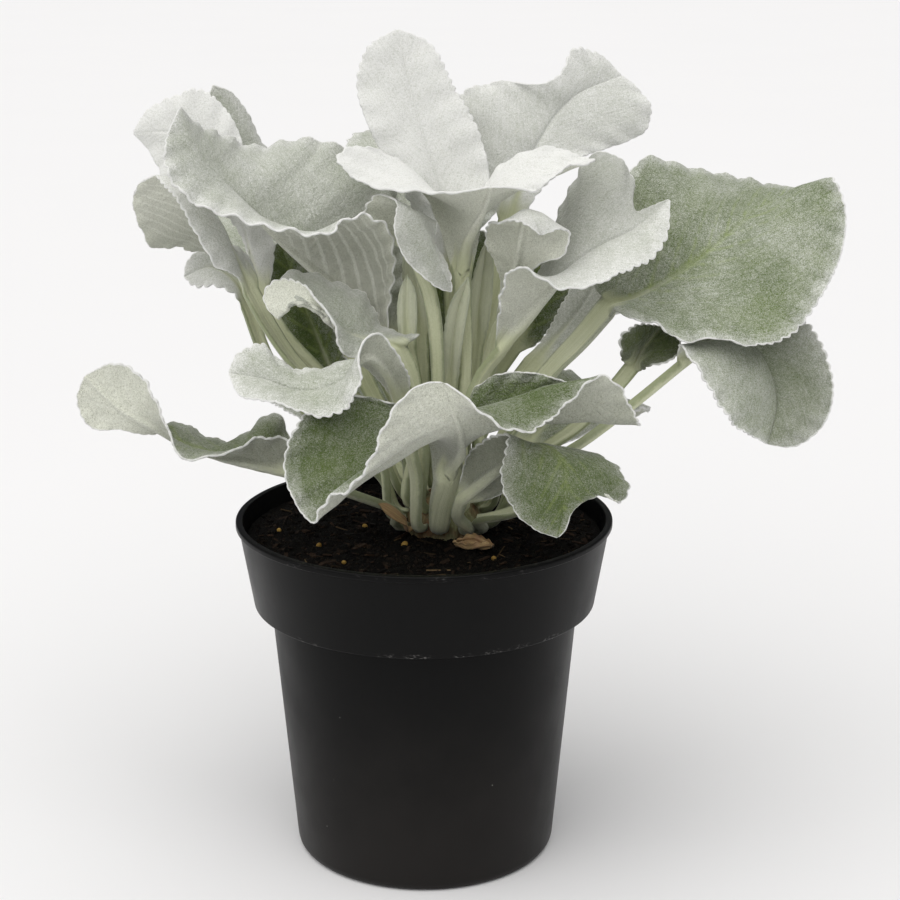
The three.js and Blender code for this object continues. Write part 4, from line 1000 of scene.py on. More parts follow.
def leaf_tracks(leaf):
    """A leaf's stalk, its spine from the crown to the tip and its two margins, and its way across."""
    way = foot_way(*leaf["foot"])
    foot = CROWN + way * (CROWN_RADIUS + 2 * GAP)
    stalk = np.vstack([foot + way * STALK_RISE, drawn(leaf["stalk"])])
    rib = drawn(leaf["rib"])
    base, tip = rib[0], rib[-1]
    spine = Track(np.vstack([foot, stalk, rib]), len(stalk) + 1)
    ahead = unit(spine.at(0.02) - base)
    across = drawn(leaf["right"])[0] - drawn(leaf["left"])[0]
    across = unit(across - ahead * (across @ ahead))
    half = leaf.get("half_width", STALK_HALF_WIDTH)
    margins = [
        Track(np.vstack([base + across * half * sign, drawn(leaf[side]), tip]))
        for side, sign in (("left", -1), ("right", 1))
    ]
    return way, across, Track(np.vstack([foot, stalk, base])), spine, margins


def stalk_sides(way, across, stalk, s):
    """The direction across the stalk in each row: round the crown at its foot, the blade's at its top."""
    along = stalk.ahead(s, 0.03)
    inward = unit(np.array([-way[0], -way[1], 0.4]))
    side = unit(np.cross(along, inward)) * (1 - s)[:, None] + across * s[:, None]
    return unit(side - along * np.sum(side * along, axis=1, keepdims=True))


def both_halves(left, right):
    """Columns from the left margin to the rib and on to the right margin."""
    return np.concatenate([left[:, :0:-1], right], axis=1)


def leaf_surface(leaf, sizes):
    """The middle surface of a leaf, rows of points from foot to tip, and what is known at each point."""
    way, across, stalk, spine, margins = leaf_tracks(leaf)
    half = leaf.get("half_width", STALK_HALF_WIDTH)
    foot_half = leaf.get("foot_half_width", FOOT_HALF_WIDTH)
    longest = max(margin.length for margin in margins)
    blade_rows = int(np.clip(longest / (sizes.row / MM), 60, 260))
    stalk_rows = int(np.clip(stalk.length / STALK_ROW, 12, 110))
    s = np.arange(stalk_rows) / stalk_rows
    u = np.linspace(0, 1, blade_rows + 1) * LAST_ROW
    all_u = np.concatenate([np.zeros(stalk_rows), u])
    side = stalk_sides(way, across, stalk, s)
    stalk_width = foot_half + (half - foot_half) * s
    stalk_run = -stalk.length * (1 - s)
    middle, ahead = spine.at(u), spine.ahead(u, 0.04)
    rib_half = TIP_RIB_HALF_WIDTH + (RIB_HALF_WIDTH - TIP_RIB_HALF_WIDTH) * (1 - all_u)
    rib_half = rib_half + (half - RIB_HALF_WIDTH) * np.exp(-all_u / 0.07)

    halves = []
    for margin, sign in zip(margins, (-1, 1)):
        chord = margin.at(u) - middle
        width = np.concatenate([stalk_width, np.linalg.norm(chord, axis=1)])
        share = column_shares(width, rib_half, half)
        h = share[stalk_rows:]
        lift = BOW * 4 * h * (1 - h) * smooth_step(0, 0.04, u)[:, None]
        up = np.cross(chord, ahead) * sign
        blade = middle[:, None] + chord[:, None] * h[:, :, None] + up[:, None] * lift[:, :, None]
        reach = sign * stalk_width[:, None] * share[:stalk_rows]
        stem = stalk.at(s)[:, None] + side[:, None] * reach[:, :, None]
        run = np.concatenate([stalk_run, u * margin.length])
        level = np.ones_like(share)
        halves.append((np.vstack([stem, blade]), share, width[:, None] * level, run[:, None] * level))

    g = SimpleNamespace()
    g.grid, g.share, g.width, g.rim_run = (both_halves(*pair) for pair in zip(*halves))
    columns = g.share.shape[1] // 2
    level = np.ones_like(g.share)
    g.sign = np.concatenate([-np.ones(columns), [0], np.ones(columns)])[None, :]
    g.u = all_u[:, None] * level
    g.is_blade = (np.arange(len(all_u)) >= stalk_rows)[:, None]
    g.rib_half = np.minimum(rib_half[:, None], g.width)
    g.ridge = (leaf.get("depth", STALK_DEPTH) * (1 - all_u) + RIB_AT_TIP * all_u)[:, None]
    g.rib_run = np.concatenate([stalk_run, u * spine.length])[:, None] * level
    g.from_rib = g.share * g.width
    g.from_rim = (1 - g.share) * g.width
    g.on_blade = smooth_step(*BLADE_START, g.rib_run) * g.is_blade
    g.to_tip = np.clip((1 - g.u) * 9, 0, 1)
    return g


def cut_teeth(g, teeth, sizes, phase):
    """Round teeth on the margins, pushed outward in the blade."""
    side = np.where(g.sign < 0, phase[0], phase[1])
    wander = 0.35 * np.sin(g.rim_run / 9.0 + side) + 0.3 * np.sin(g.rim_run / 23.0 + 2 * side)
    g.tooth = np.abs(np.sin(math.pi * (g.rim_run / (sizes.tooth_pitch / MM) + wander))) ** 0.75
    g.strength = teeth * np.clip(np.minimum(8 * g.u - 0.3, 9 * (1 - g.u)), 0, 1) * g.is_blade
    size = 0.7 + 0.5 * np.sin(g.rim_run / 15.0 + phase[2] + g.sign)
    reach = sizes.tooth / MM * g.strength * size * (g.tooth - 0.25) * np.exp(-g.from_rim / TOOTH_REACH)
    left, right = (g.grid[:, 0] - g.grid[:, 6])[:, None], (g.grid[:, -1] - g.grid[:, -7])[:, None]
    outward = unit(np.where(g.sign[:, :, None] < 0, left, right))
    g.grid = g.grid + outward * reach[:, :, None]


def ripple_blade(g, relief, ripple, sizes, phase):
    """Ripples along the margins, pleats along the side veins and a little unevenness all over."""
    pitch = sizes.vein_pitch / MM
    side = np.where(g.sign < 0, phase[0], phase[1])
    beat = TURN * g.rim_run / (sizes.ripple_length / MM) + side + 1.3 * np.sin(g.rim_run / 31.0 + phase[3])
    near_rim = np.exp(-g.from_rim / RIPPLE_REACH) * smooth_step(*RIPPLE_WIDTHS, g.width)
    wave = ripple * np.sin(beat) * near_rim * g.to_tip * g.on_blade

    # The side veins of the blade's foot fan out from one point, and the others keep their pitch.
    ahead = g.rib_run * g.on_blade
    lean = 1.1 * g.from_rib * (1 + g.from_rib / 120.0) + 1e-3
    in_fan = ahead < lean
    g.pitch = np.minimum(pitch, np.where(in_fan, lean / VEIN_FAN, 1e3))
    g.vein = np.where(in_fan, VEIN_FAN * (ahead / lean - 1), (ahead - lean) / pitch)
    g.fade = g.on_blade * smooth_step(*VEIN_START, g.from_rib) * smooth_step(*VEIN_END, g.from_rim)
    g.fade = g.fade * g.to_tip
    g.pleat = PLEAT * relief * g.pitch / pitch * np.cos(TURN * g.vein) * g.fade
    x, z = g.grid[:, :, 0], g.grid[:, :, 2]
    uneven = UNEVEN * np.sin(x / 7.1 + phase[4]) * np.sin(z / 6.3 + phase[5])
    uneven = uneven + FINELY_UNEVEN * np.sin(x / 3.3 + phase[5]) * np.sin(z / 2.9 + phase[4])
    uneven = uneven * g.on_blade * g.to_tip * smooth_step(1, 8, g.from_rib)
    g.grid = g.grid + surface_normals(g.grid) * (wave + g.pleat + uneven)[:, :, None]


def both_faces(above, below):
    """Rows across the upper face and back across the lower one, which meet on the margins."""
    return np.concatenate([above, below[:, ::-1]], axis=1)


def thicken(g, relief, sizes, phase):
    """Thickness, with the rounded rim, the rib and side veins standing out below, and the groove."""
    body = sizes.blade / MM / 2
    edge = sizes.rim / MM * (0.75 + 0.6 * g.tooth * np.clip(g.strength, 0, 1))
    round_part = np.sqrt(np.maximum(0, edge**2 - np.maximum(0, edge - g.from_rim) ** 2))
    swell = body + (edge - body) * np.exp(-np.maximum(0, g.from_rim - edge) / RIM_BLEND)
    thick = np.where(g.from_rim < edge, round_part, swell)
    rib_form = np.sqrt(np.maximum(0, 1 - (g.from_rib / g.rib_half) ** 2))
    vein_off = np.abs(g.vein - np.round(g.vein)) * g.pitch * 0.75
    vein_form = np.exp(-((vein_off / VEIN_HALF_WIDTH) ** 2)) * g.fade * relief
    drop = g.ridge * rib_form + sizes.vein_height / MM * vein_form - 0.35 * g.pleat
    in_groove = np.exp(-((g.from_rib / (GROOVE_HALF_WIDTH * g.rib_half)) ** 2)) * (1 - g.share**2)
    groove = GROOVE * g.ridge * in_groove
    groove = groove + 0.10 * vein_form + 0.65 * g.pleat
    flutes = FLUTE * np.cos(g.from_rib * FLUTE_TURN + phase[4]) * (1 - g.on_blade)
    flutes = flutes * smooth_step(0.3, 1.2, g.from_rim)
    normal = surface_normals(g.grid)
    above = g.grid + normal * (thick - groove + flutes)[:, :, None]
    below = g.grid - normal * (thick + drop + flutes)[:, :, None]
    return both_faces(above, below)


def leaf_mesh(name, leaf, look, sizes, seed):
    """A leaf as one closed mesh: its middle surface toothed, rippled and thickened, with ribs below."""
    age, relief, ripple, *painted_shades = look
    phase = np.random.default_rng(seed).uniform(0, TURN, 6)
    teeth = leaf.get("teeth", 1)
    g = leaf_surface(leaf, sizes)
    cut_teeth(g, teeth, sizes, phase)
    ripple_blade(g, relief, ripple, sizes, phase)
    ring = thicken(g, relief, sizes, phase)

    # Leaves with hardly any teeth are young, and still have the smooth pale skin of a stalk.
    grown = 0.3 if teeth < 0.5 else 1.0
    level = np.ones_like(g.share)
    facts = {
        "along": g.rib_run,
        "across": g.from_rib * g.sign,
        "rim": g.from_rim,
        "blade": g.on_blade * grown,
        "vein": g.vein,
        "age": age * level,
        "ribbed": relief * g.fade,
    }
    values = {key: both_faces(fact, fact) for key, fact in facts.items()}
    right_half = smooth_step(-0.5, 0.5, g.sign * g.share)
    above, below = (low + (high - low) * right_half for low, high in (painted_shades[:2], painted_shades[2:]))
    # Below, the painted shade fades out towards the tip.
    below = below + (1.0 - below) * smooth_step(0.45, 0.8, g.u)
    values["tone"] = both_faces(above, below)
    values["upper"] = both_faces(level, 0 * level)
    return closed_tube(name, ring, values)


def ring_faces(rows, around):
    """Quads between neighbouring closed rings of points, which are numbered ring by ring."""
    index = np.arange(rows * around).reshape(rows, around)
    beside = np.roll(index, -1, axis=1)
    return np.stack([index[:-1], beside[:-1], beside[1:], index[1:]], axis=-1).reshape(-1, 4)


def raw_mesh(name, points, faces):
    """A mesh of points given in millimetres."""
    mesh = bpy.data.meshes.new(name)
    mesh.from_pydata((points.reshape(-1, 3) * MM).tolist(), [], faces)
    return mesh


def tidy_mesh(mesh):
    """Doubles merged, faces outward and shaded smooth."""
    work = bmesh.new()
    work.from_mesh(mesh)
    bmesh.ops.remove_doubles(work, verts=work.verts, dist=MERGE)
    bmesh.ops.recalc_face_normals(work, faces=work.faces)
    work.to_mesh(mesh)
    work.free()
    mesh.shade_smooth()
    return mesh


def closed_tube(name, ring, values):
    """Rings of points joined to a closed mesh, with a number for each point under each name."""
    rows, around = ring.shape[:2]
    foot, tip = rows * around, rows * around + 1
    last = foot - around
    caps = [[foot, (k + 1) % around, k] for k in range(around)]
    caps += [[tip, last + k, last + (k + 1) % around] for k in range(around)]
    points = np.vstack([ring.reshape(-1, 3), ring[0].mean(0), ring[-1].mean(0)])
    mesh = raw_mesh(name, points, ring_faces(rows, around).tolist() + caps)
    for key, value in values.items():
        data = np.concatenate([value.ravel(), [value[0].mean(), value[-1].mean()]])
        field = mesh.attributes.new(key, "FLOAT", "POINT").data
        field.foreach_set("value", data.astype(np.float32))
    return tidy_mesh(mesh)


def lathe_mesh(name, profile, sides, lift=None):
    """A closed outline of [radius, height], which starts and ends on the axis, turned about it."""
    profile = np.array(profile, float)
    turn = np.arange(sides) / sides * TURN
    ring = np.empty((len(profile), sides, 3))
    ring[:, :, 0] = profile[:, :1] * np.cos(turn)
    ring[:, :, 1] = profile[:, :1] * np.sin(turn)
    ring[:, :, 2] = profile[:, 1:]
    if lift is not None:
        ring[:, :, 2] += lift(ring)
    return tidy_mesh(raw_mesh(name, ring, ring_faces(len(profile), sides).tolist()))


def rounded(profile, steps):
    """The outline with each corner that names a radius as its third number turned into an arc."""
    out = []
    for i, corner in enumerate(profile):
        spot = np.array(corner[:2], float)
        if len(corner) < 3:
            out.append(spot)
            continue
        arms = [np.array(profile[k % len(profile)][:2], float) - spot for k in (i - 1, i + 1)]
        back, on = (unit(arm) for arm in arms)
        half_angle = math.acos(np.clip(back @ on, -1, 1)) / 2
        reach = min(corner[2] / math.tan(half_angle), *(0.49 * np.linalg.norm(arm) for arm in arms))
        start, end = spot + back * reach, spot + on * reach
        for t in np.linspace(0, 1, steps + 1):
            out.append((1 - t) ** 2 * start + 2 * t * (1 - t) * spot + t * t * end)
    return out


def inner_radius(z):
    """The radius of the pot's inside at a height."""
    if z < COLLAR_FOOT + WALL:
        return BODY_FOOT_RADIUS + (BODY_TOP_RADIUS - BODY_FOOT_RADIUS) * z / COLLAR_FOOT - WALL
    share = (z - COLLAR_FOOT) / COLLAR_DEPTH
    return COLLAR_FOOT_RADIUS + (RIM_RADIUS - LIP - COLLAR_FOOT_RADIUS) * share - WALL


def pot_openings():
    """Solid tools in the shape of the drain holes and of the slots for a hanger."""
    tools = []
    for k in range(DRAINS):
        turn = TURN * k / DRAINS
        bpy.ops.mesh.primitive_cylinder_add(
            vertices=28,
            radius=DRAIN_RADIUS * MM,
            depth=6 * FLOOR * MM,
            location=(DRAIN_CIRCLE * MM * math.cos(turn), DRAIN_CIRCLE * MM * math.sin(turn), 0),
        )
        tools.append(bpy.context.object)
    bpy.ops.mesh.primitive_cube_add(size=1, location=(0, 0, (POT_HEIGHT - SLOT_DROP) * MM))
    slot = bpy.context.object
    slot.scale = (3 * RIM_RADIUS * MM, SLOT_WIDTH * MM, SLOT_HEIGHT * MM)
    slot.rotation_euler = (0, 0, math.radians(SLOT_TURN))
    return [*tools, slot]


def evaluated_mesh(thing):
    """The object's mesh with its modifiers applied, and the object removed."""
    graph = bpy.context.evaluated_depsgraph_get()
    made = bpy.data.meshes.new_from_object(thing.evaluated_get(graph))
    bpy.data.objects.remove(thing)
    return made


def pot_mesh(sizes):
    """The pot: tapered body, collar with its stepped foot, rolled lip, rounded foot and drain holes."""
    slope = (BODY_TOP_RADIUS - BODY_FOOT_RADIUS) / COLLAR_FOOT
    corners = [
        (0, 0),
        (BODY_FOOT_RADIUS, 0, FOOT_ROUND),
        (BODY_TOP_RADIUS - 0.1, COLLAR_FOOT - 3),
        (BODY_TOP_RADIUS, COLLAR_FOOT, 0.8),
        (COLLAR_FOOT_RADIUS, COLLAR_FOOT, 1.2),
        (RIM_RADIUS - LIP, POT_HEIGHT - 3.6, 0.5),
        (RIM_RADIUS, POT_HEIGHT - 2.8, 0.6),
        (RIM_RADIUS, POT_HEIGHT, 1.1),
        (RIM_RADIUS - LIP - WALL, POT_HEIGHT, 0.7),
        (COLLAR_FOOT_RADIUS - WALL, COLLAR_FOOT + WALL, 1.5),
        (BODY_TOP_RADIUS - WALL, COLLAR_FOOT + WALL, 1.0),
        (BODY_FOOT_RADIUS + slope * FLOOR - WALL, FLOOR, 1.5),
        (0, FLOOR),
    ]
    mesh = lathe_mesh("nursery_pot_moulded", rounded(corners, sizes.rounding), sizes.sides)
    body = linked("pot_blank", mesh)
    tools = pot_openings()
    for tool in tools:
        cut = body.modifiers.new("opening", "BOOLEAN")
        cut.object = tool
        cut.operation = "DIFFERENCE"
        cut.solver = "EXACT"
    made = evaluated_mesh(body)
    for tool in tools:
        bpy.data.objects.remove(tool)
    made.shade_smooth()
    made.set_sharp_from_angle(angle=SHARP_EDGE)
    return made


def soil_rise(x, y):
    """Height of the mix over its level: the low mound at the crown and the broad hollows."""
    away = np.hypot(x - CROWN[0], y - CROWN[1])
    mound = MOUND * np.exp(-((away / MOUND_WIDTH) ** 2))
    return mound + SOIL_BUMP * np.sin(0.19 * x + 1) * np.cos(0.17 * y) * np.sin(0.09 * (x + y))


def lumps_at(x, y, sizes):
    """Uneven ground: sums of crossing waves with seeded directions, finer and lower each time."""
    chance = np.random.default_rng(sizes.seed)
    total = np.zeros_like(x)
    waves = 5
    for octave in range(4):
        pitch = LUMP_LENGTH / 1.9**octave
        layer = np.zeros_like(x)
        for _ in range(waves):
            turn, phase = chance.uniform(0, TURN, 2)
            layer += np.sin((x * math.cos(turn) + y * math.sin(turn)) * TURN / pitch + phase)
        total += np.abs(layer) / waves * 0.62**octave
    return (total - 0.8) * sizes.lumps / MM


def soil_mesh(sizes):
    """The body of the mix, its top uneven and settled against the pot's wall."""
    ledge = COLLAR_FOOT + WALL
    clear = 3 * GAP
    outer = inner_radius(SOIL_LEVEL) - clear
    profile = [
        (0, FLOOR + GAP),
        (inner_radius(FLOOR) - clear, FLOOR + GAP),
        (inner_radius(ledge - 1) - clear, ledge + GAP),
        (inner_radius(ledge + 1) - clear, ledge + GAP),
        *((outer * k / sizes.rings, SOIL_LEVEL) for k in range(sizes.rings, 0, -1)),
        (0, SOIL_LEVEL),
    ]

    def lift(ring):
        x, y, z = ring[:, :, 0], ring[:, :, 1], ring[:, :, 2]
        inside = np.clip((outer + 1 - np.hypot(x, y)) / 12, 0, 1)
        rise = inside * soil_rise(x, y) + lumps_at(x, y, sizes) * (0.35 + 0.65 * inside)
        return np.where(z > SOIL_LEVEL - 1, rise, 0)

    return lathe_mesh("potting_mix_surface", profile, sizes.sides, lift)


def ground_patch(sizes):
    """The open surface of the mix between the crown and the wall, for what is strewn on it."""
    rings, sides = 40, 120
    inner, outer = 15, inner_radius(SOIL_LEVEL) - 4
    radius = np.linspace(inner, outer, rings)[:, None]
    turn = np.arange(sides) / sides * TURN
    to_crown = 1 - (radius - inner) / (outer - inner)
    x = radius * np.cos(turn) + CROWN[0] * to_crown
    y = radius * np.sin(turn) + CROWN[1] * to_crown
    z = SOIL_LEVEL + soil_rise(x, y) + lumps_at(x, y, sizes)
    upward = ring_faces(rings, sides)[:, [0, 3, 2, 1]]
    return raw_mesh("ground", np.stack([x, y, z], axis=-1), upward.tolist())


# What is strewn on the mix: the node that makes one bit and its sockets, the least and greatest
# stretch of a bit along its axes, and the least and greatest turn about them.
ANY_TURN = ((-math.pi,) * 3, (math.pi,) * 3)
LYING = ((1.15, -0.5, -math.pi), (1.95, 0.5, math.pi))
ROUND = ((0.6,) * 3, (1.2,) * 3)
BITS = {
    "crumb": ("GeometryNodeMeshIcoSphere", {"Radius": 1.0, "Subdivisions": 1}, ROUND, ANY_TURN),
    "chip": (
        "GeometryNodeMeshCube", {"Size": (1.0, 0.9, 2.0)}, ((0.35, 0.12, 0.5), (0.8, 0.35, 1.1)), LYING
    ),
    "straw": (
        "GeometryNodeMeshCylinder",
        {"Vertices": 5, "Radius": 0.07, "Depth": 2.0},
        ((0.9, 0.9, 0.5), (1.5, 1.5, 1.4)),
        LYING,
    ),
    "pellet": ("GeometryNodeMeshIcoSphere", {"Radius": 1.0, "Subdivisions": 3}, ROUND, ANY_TURN),
}
STREWING_INPUTS = {
    "Density": "Float",
    "Size": "Float",
    "Spread": "Float",
    "Lift": "Float",
    "Seed": "Int",
    "Finish": "Material",
}
FORM_SEED = 3
TONE_SEED = 11


def strewing(name, shape):
    """Geometry nodes that strew bits on a ground, turned, sized and toned by chance, and their inputs."""
    tree = bpy.data.node_groups.new(name, "GeometryNodeTree")
    geometry = {"name": "Geometry", "socket_type": "NodeSocketGeometry"}
    tree.interface.new_socket(in_out="INPUT", **geometry)
    inputs = {
        label: tree.interface.new_socket(label, in_out="INPUT", socket_type="NodeSocket" + kind)
        for label, kind in STREWING_INPUTS.items()
    }
    tree.interface.new_socket(in_out="OUTPUT", **geometry)

    def add(kind, settings=None, sockets=None, out=0):
        return new_node(tree, kind, settings, sockets).outputs[out]

    def chance(low, high, seed):
        """A number, or three of them, drawn for each point between two limits."""
        kind, first, out = ("FLOAT_VECTOR", 0, 0) if isinstance(low, tuple) else ("FLOAT", 2, 1)
        sockets = {first: low, first + 1: high, "Seed": seed}
        return add("FunctionNodeRandomValue", {"data_type": kind}, sockets, out)

    given = new_node(tree, "NodeGroupInput").outputs
    seed = given["Seed"]
    bit_kind, bit_sockets, forms, turns = BITS[shape]
    ground = {"Mesh": given["Geometry"], "Density": given["Density"], "Seed": seed}
    points = add("GeometryNodeDistributePointsOnFaces", None, ground, "Points")
    grown = {0: chance(0.0, 1.0, seed), 1: given["Spread"], 2: given["Size"]}
    grown = add("ShaderNodeMath", {"operation": "MULTIPLY_ADD"}, grown)
    scale = add("ShaderNodeVectorMath", {"operation": "SCALE"}, {0: chance(*forms, FORM_SEED), 3: grown})
    lift = add("ShaderNodeCombineXYZ", None, {2: given["Lift"]})
    raised = add("GeometryNodeSetPosition", None, {"Geometry": points, "Offset": lift})
    bit = add(bit_kind, None, bit_sockets, "Mesh")
    placing = {"Points": raised, "Instance": bit, "Rotation": chance(*turns, seed), "Scale": scale}
    placed = add("GeometryNodeInstanceOnPoints", None, placing)
    toned = add(
        "GeometryNodeStoreNamedAttribute",
        {"data_type": "FLOAT", "domain": "INSTANCE"},
        {"Geometry": placed, "Name": "tone", "Value": chance(0.0, 1.0, TONE_SEED)},
    )
    real = add("GeometryNodeRealizeInstances", None, {"Geometry": toned})
    skinned = add("GeometryNodeSetMaterial", None, {"Geometry": real, "Material": given["Finish"]})
    new_node(tree, "NodeGroupOutput", None, {0: skinned})
    return tree, inputs


def scatter(ground, name, shape, chosen):
    """Bits strewn on the ground, as one mesh; chosen gives a value for each input of the strewing."""
    host = linked(name + "_ground", ground)
    modifier = host.modifiers.new("strewn", "NODES")
    modifier.node_group, inputs = strewing(name, shape)
    for label, value in chosen.items():
        modifier[inputs[label].identifier] = value
    made = evaluated_mesh(host)
    made.name = name
    return made


def crown_mesh():
    """The crown's dome, in wrinkled skin that stands in flakes between the stalks."""
    rows, sides = 70, 160
    tilt = np.linspace(0, math.pi * 0.72, rows)[:, None]
    turn = (np.arange(sides) / sides * TURN)[None, :]
    level = np.sin(tilt)
    way = np.stack(np.broadcast_arrays(level * np.cos(turn), level * np.sin(turn), np.cos(tilt)), axis=-1)
    fold = CROWN_SKIN * np.abs(np.sin(9 * turn + 2.5 * np.sin(3 * tilt))) * level
    fine = 0.35 * np.sin(31 * turn + 9 * tilt) * level * np.sin(17 * tilt + 4 * np.cos(2 * turn))
    radius = CROWN_RADIUS - CROWN_SKIN + fold + fine
    return closed_tube("crown_in_skin", CROWN + way * radius[:, :, None], {})


def dead_leaf_mesh():
    """The small dead blade that lies rolled on the mix, with a torn margin and creased along its length."""
    rows, columns = 60, 61
    s = np.linspace(0, 1, rows)[:, None]
    c = np.linspace(-0.5, 0.5, columns)[None, :]
    span = DEAD_LEAF_WIDTH * (0.35 + 0.65 * np.sin(math.pi * (0.12 + 0.76 * s)))
    turn = c * DEAD_LEAF_ROLL + 0.5 * np.sin(4 * s)
    crease = 0.35 * np.sin(26 * c + 5 * s) + 0.25 * np.sin(11 * s + 9 * c)
    radius = span / DEAD_LEAF_ROLL + 0.5 * np.sin(5 * s + 2 * turn) + crease
    torn = 0.8 * np.sin(31 * s) * np.sign(c) * np.abs(2 * c) ** 6
    turn = turn + torn / np.maximum(radius, 2)
    along = (s - 0.5) * DEAD_LEAF_LENGTH + 0 * c
    aside = radius * np.sin(turn)
    height = span / DEAD_LEAF_ROLL - radius * np.cos(turn) + 1.5 * s * s
    way = math.cos(DEAD_LEAF_TURN), math.sin(DEAD_LEAF_TURN)
    x = along * way[0] - aside * way[1]
    y = along * way[1] + aside * way[0]
    grid = np.stack([x, y, height], axis=-1) + DEAD_LEAF
    rim = np.minimum(1, (0.5 - np.abs(c)) * 14) * np.ones_like(s)
    half = (DEAD_LEAF_HALF * np.sqrt(np.clip(rim, 0, 1)))[:, :, None]
    normal = surface_normals(grid)
    facts = {"along": s * DEAD_LEAF_LENGTH + 0 * c, "across": c * DEAD_LEAF_WIDTH + 0 * s}
    values = {key: both_faces(fact, fact) for key, fact in facts.items()}
    return closed_tube("dead_leaf_rolled", both_faces(grid + normal * half, grid - normal * half), values)


def linked(name, data):
    """A new object in the scene."""
    thing = bpy.data.objects.new(name, data)
    bpy.context.scene.collection.objects.link(thing)
    return thing


def piece(name, mesh, material, slot, *nodes):
    """Puts a finished mesh in the scene in place of its solids, riding with the plant."""
    thing = linked(name, mesh)
    mesh.materials.clear()
    mesh.materials.append(material)
    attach(thing, "root")
    if nodes:
        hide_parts(*nodes)


class SENECIO_OT_pot(bpy.types.Operator):
    """Moulds the nursery pot"""

    bl_idname = "senecio.pot"
    bl_label = "Nursery Pot"

    def execute(self, context):
        sizes = context.scene.senecio_pot
        piece("nursery_pot_moulded", pot_mesh(sizes), pot_plastic(sizes), "pot_plastic", "nursery_pot")
        return {"FINISHED"}


class SENECIO_OT_mix(bpy.types.Operator):
    """Fills the pot and strews crumbs, bark chips, straws and pellets on the mix"""

    bl_idname = "senecio.mix"
    bl_label = "Potting Mix"

    # A piece's name, its shape, its finish's name, dark colour, pale colour and roughness.
    STREWN = (
        ("mix_crumbs", "crumb", "peat_crumb", (0.0012, 0.0009, 0.0007), (0.010, 0.0065, 0.004), 0.85),
        ("mix_bark_chips", "chip", "bark_chip", (0.0016, 0.0012, 0.0009), (0.030, 0.017, 0.010), 0.75),
        ("mix_straws", "straw", "straw", (0.008, 0.005, 0.003), (0.13, 0.088, 0.045), 0.75),
        ("mix_pellets", "pellet", "feed_pellet", (0.22, 0.13, 0.03), (0.42, 0.27, 0.07), 0.45),
    )

    def execute(self, context):
        sizes = context.scene.senecio_mix
        piece("potting_mix_surface", soil_mesh(sizes), damp_peat(sizes), "potting_mix", "potting_mix")
        # How many of each on a square metre, the least size, how far sizes spread, and how far raised.
        amounts = (
            (sizes.crumbs, sizes.crumb_size * 0.55, sizes.crumb_size, 0.0001),
            (sizes.chips, sizes.chip_size * 0.5, sizes.chip_size, 0.0002),
            (sizes.fibres, sizes.fibre_size * 0.5, sizes.fibre_size, 0.0005),
            (sizes.pellets, sizes.pellet_size, sizes.pellet_size * 0.5, 0.0006),
        )
        for order, ((name, shape, *look), amount_of) in enumerate(zip(self.STREWN, amounts)):
            skin = loose_bits(*look)
            chosen = dict(zip(STREWING_INPUTS, (*amount_of, sizes.seed + order, skin)))
            made = scatter(ground_patch(sizes), name, shape, chosen)
            if shape == "pellet":
                made.shade_smooth()
            piece(name, made, skin, "potting_mix")
        return {"FINISHED"}


class SENECIO_OT_crown(bpy.types.Operator):
    """Makes the crown in its papery skin"""

    bl_idname = "senecio.crown"
    bl_label = "Crown"

    def execute(self, context):
        piece("crown_in_skin", crown_mesh(), crown_skin(), "crown_skin", "crown")
        return {"FINISHED"}


class SENECIO_OT_leaves(bpy.types.Operator):
    """Makes every living leaf with its stalk, ribs, veins, teeth and felt"""

    bl_idname = "senecio.leaves"
    bl_label = "Felted Leaves"

    def execute(self, context):
        sizes = context.scene.senecio_leaf
        felt = felted_leaf(context.scene.senecio_felt)
        for seed, (name, leaf) in enumerate(LEAVES.items()):
            mesh = leaf_mesh(name + "_felted", leaf, LEAF_LOOK[name], sizes, seed)
            piece(name + "_felted", mesh, felt, "felted_leaf", name)
        return {"FINISHED"}


class SENECIO_OT_remains(bpy.types.Operator):
    """Makes the dry stub on the crown and the dead leaf on the mix"""

    bl_idname = "senecio.remains"
    bl_label = "Dried Remains"

    def execute(self, context):
        dry = dried_leaf()
        stub = leaf_mesh("dry_stub_papery", DRY_STUB, DRY_LOOK, context.scene.senecio_leaf, 0)
        piece("dry_stub_papery", stub, dry, "dry_leaf", "dry_stub")
        piece("dead_leaf_rolled", dead_leaf_mesh(), dry, "dry_leaf", "dead_leaf")
        return {"FINISHED"}


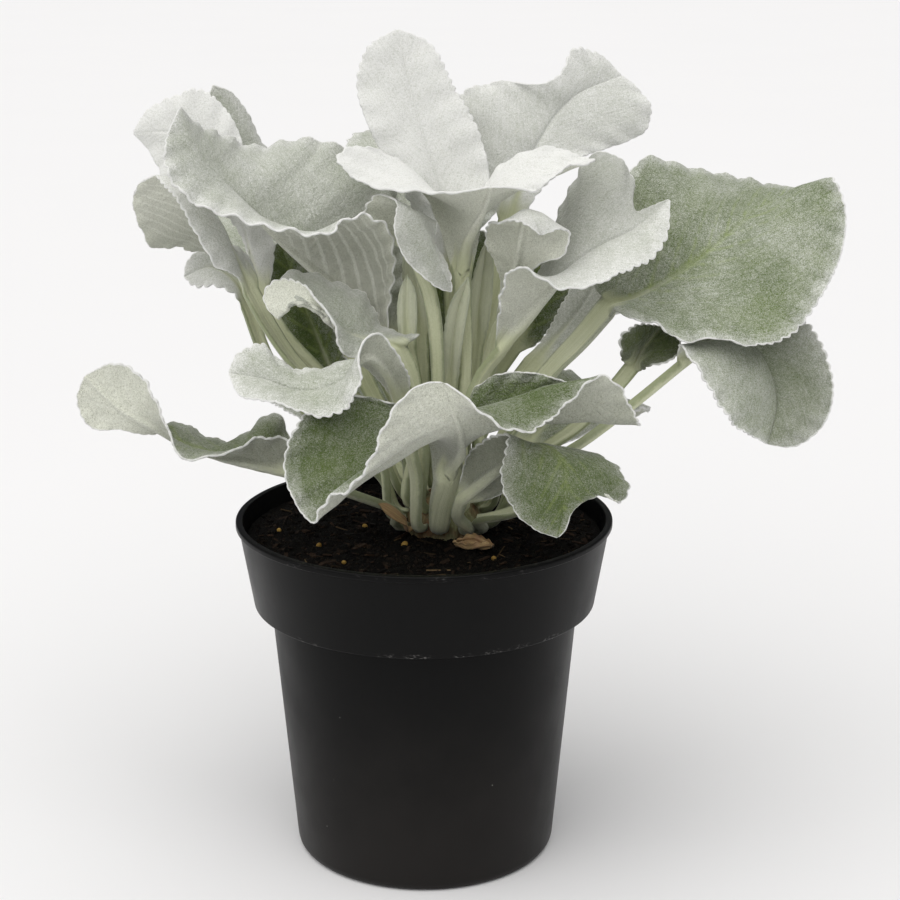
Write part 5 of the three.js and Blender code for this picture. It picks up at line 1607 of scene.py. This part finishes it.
class SENECIO_OT_stage(bpy.types.Operator):
    """Lays the pale floor, hangs the soft lights and sets the camera"""

    bl_idname = "senecio.stage"
    bl_label = "Studio Stage"

    def execute(self, context):
        look = context.scene.senecio_stage
        bpy.ops.mesh.primitive_plane_add(size=60)
        floor = context.object
        floor.name = "studio_floor"
        paper = Finish("studio_paper")
        cloud = paper.clamp(paper.noise(paper.place(), 400, 2) + 0.5)
        shade = paper.mix(cloud, look.floor, [c * 0.985 for c in look.floor])
        floor.data.materials.append(paper.surface(shade, 0.9))

        world = bpy.data.worlds.new("studio_air")
        world.use_nodes = True
        sky = world.node_tree.nodes["Background"]
        sky.inputs["Color"].default_value = COOL
        sky.inputs["Strength"].default_value = look.sky
        context.scene.world = world

        lamp = bpy.data.lights.new("softbox", "SUN")
        lamp.energy = look.key
        lamp.angle = SOFTBOX_WIDTH
        lamp.color = WARM
        linked("softbox", lamp).rotation_euler = SOFTBOX_TURN

        view = bpy.data.cameras.new("front_camera")
        view.lens = CAMERA_LENS
        view.clip_end = 100
        camera = linked("front_camera", view)
        camera.location = CAMERA_SPOT
        camera.rotation_euler = (math.pi / 2 - CAMERA_TILT, 0, -math.atan(AXIS_OFF_PX / FOCAL_PX))
        context.scene.camera = camera
        context.scene.view_settings.view_transform = "Standard"
        return {"FINISHED"}


class SENECIO_PT_panel(bpy.types.Panel):
    """The plant's pieces, in the order in which they are made"""

    bl_label = "Angel Wings Senecio"
    bl_idname = "SENECIO_PT_panel"
    bl_space_type = "VIEW_3D"
    bl_region_type = "UI"
    bl_category = "Senecio"

    def draw(self, context):
        for step in STEPS:
            self.layout.operator(step.bl_idname)
        for name in SETTINGS:
            group = getattr(context.scene, name)
            box = self.layout.box()
            for key in group.__annotations__:
                box.prop(group, key)


STEPS = (
    SENECIO_OT_pot,
    SENECIO_OT_mix,
    SENECIO_OT_crown,
    SENECIO_OT_leaves,
    SENECIO_OT_remains,
    SENECIO_OT_stage,
)
SETTINGS = {
    "senecio_pot": PotSizes,
    "senecio_mix": MixSizes,
    "senecio_leaf": LeafSizes,
    "senecio_felt": FeltColours,
    "senecio_stage": StageLook,
}


def register():
    for group in SETTINGS.values():
        bpy.utils.register_class(group)
    for step in STEPS:
        bpy.utils.register_class(step)
    bpy.utils.register_class(SENECIO_PT_panel)
    for name, group in SETTINGS.items():
        setattr(bpy.types.Scene, name, bpy.props.PointerProperty(type=group))


def unregister():
    for name in SETTINGS:
        delattr(bpy.types.Scene, name)
    for made in (SENECIO_PT_panel, *reversed(STEPS), *SETTINGS.values()):
        bpy.utils.unregister_class(made)


def main():
    register()
    bpy.ops.senecio.pot()
    bpy.ops.senecio.mix()
    bpy.ops.senecio.crown()
    bpy.ops.senecio.leaves()
    bpy.ops.senecio.remains()
    bpy.ops.senecio.stage()


if __name__ == "__main__":
    main()
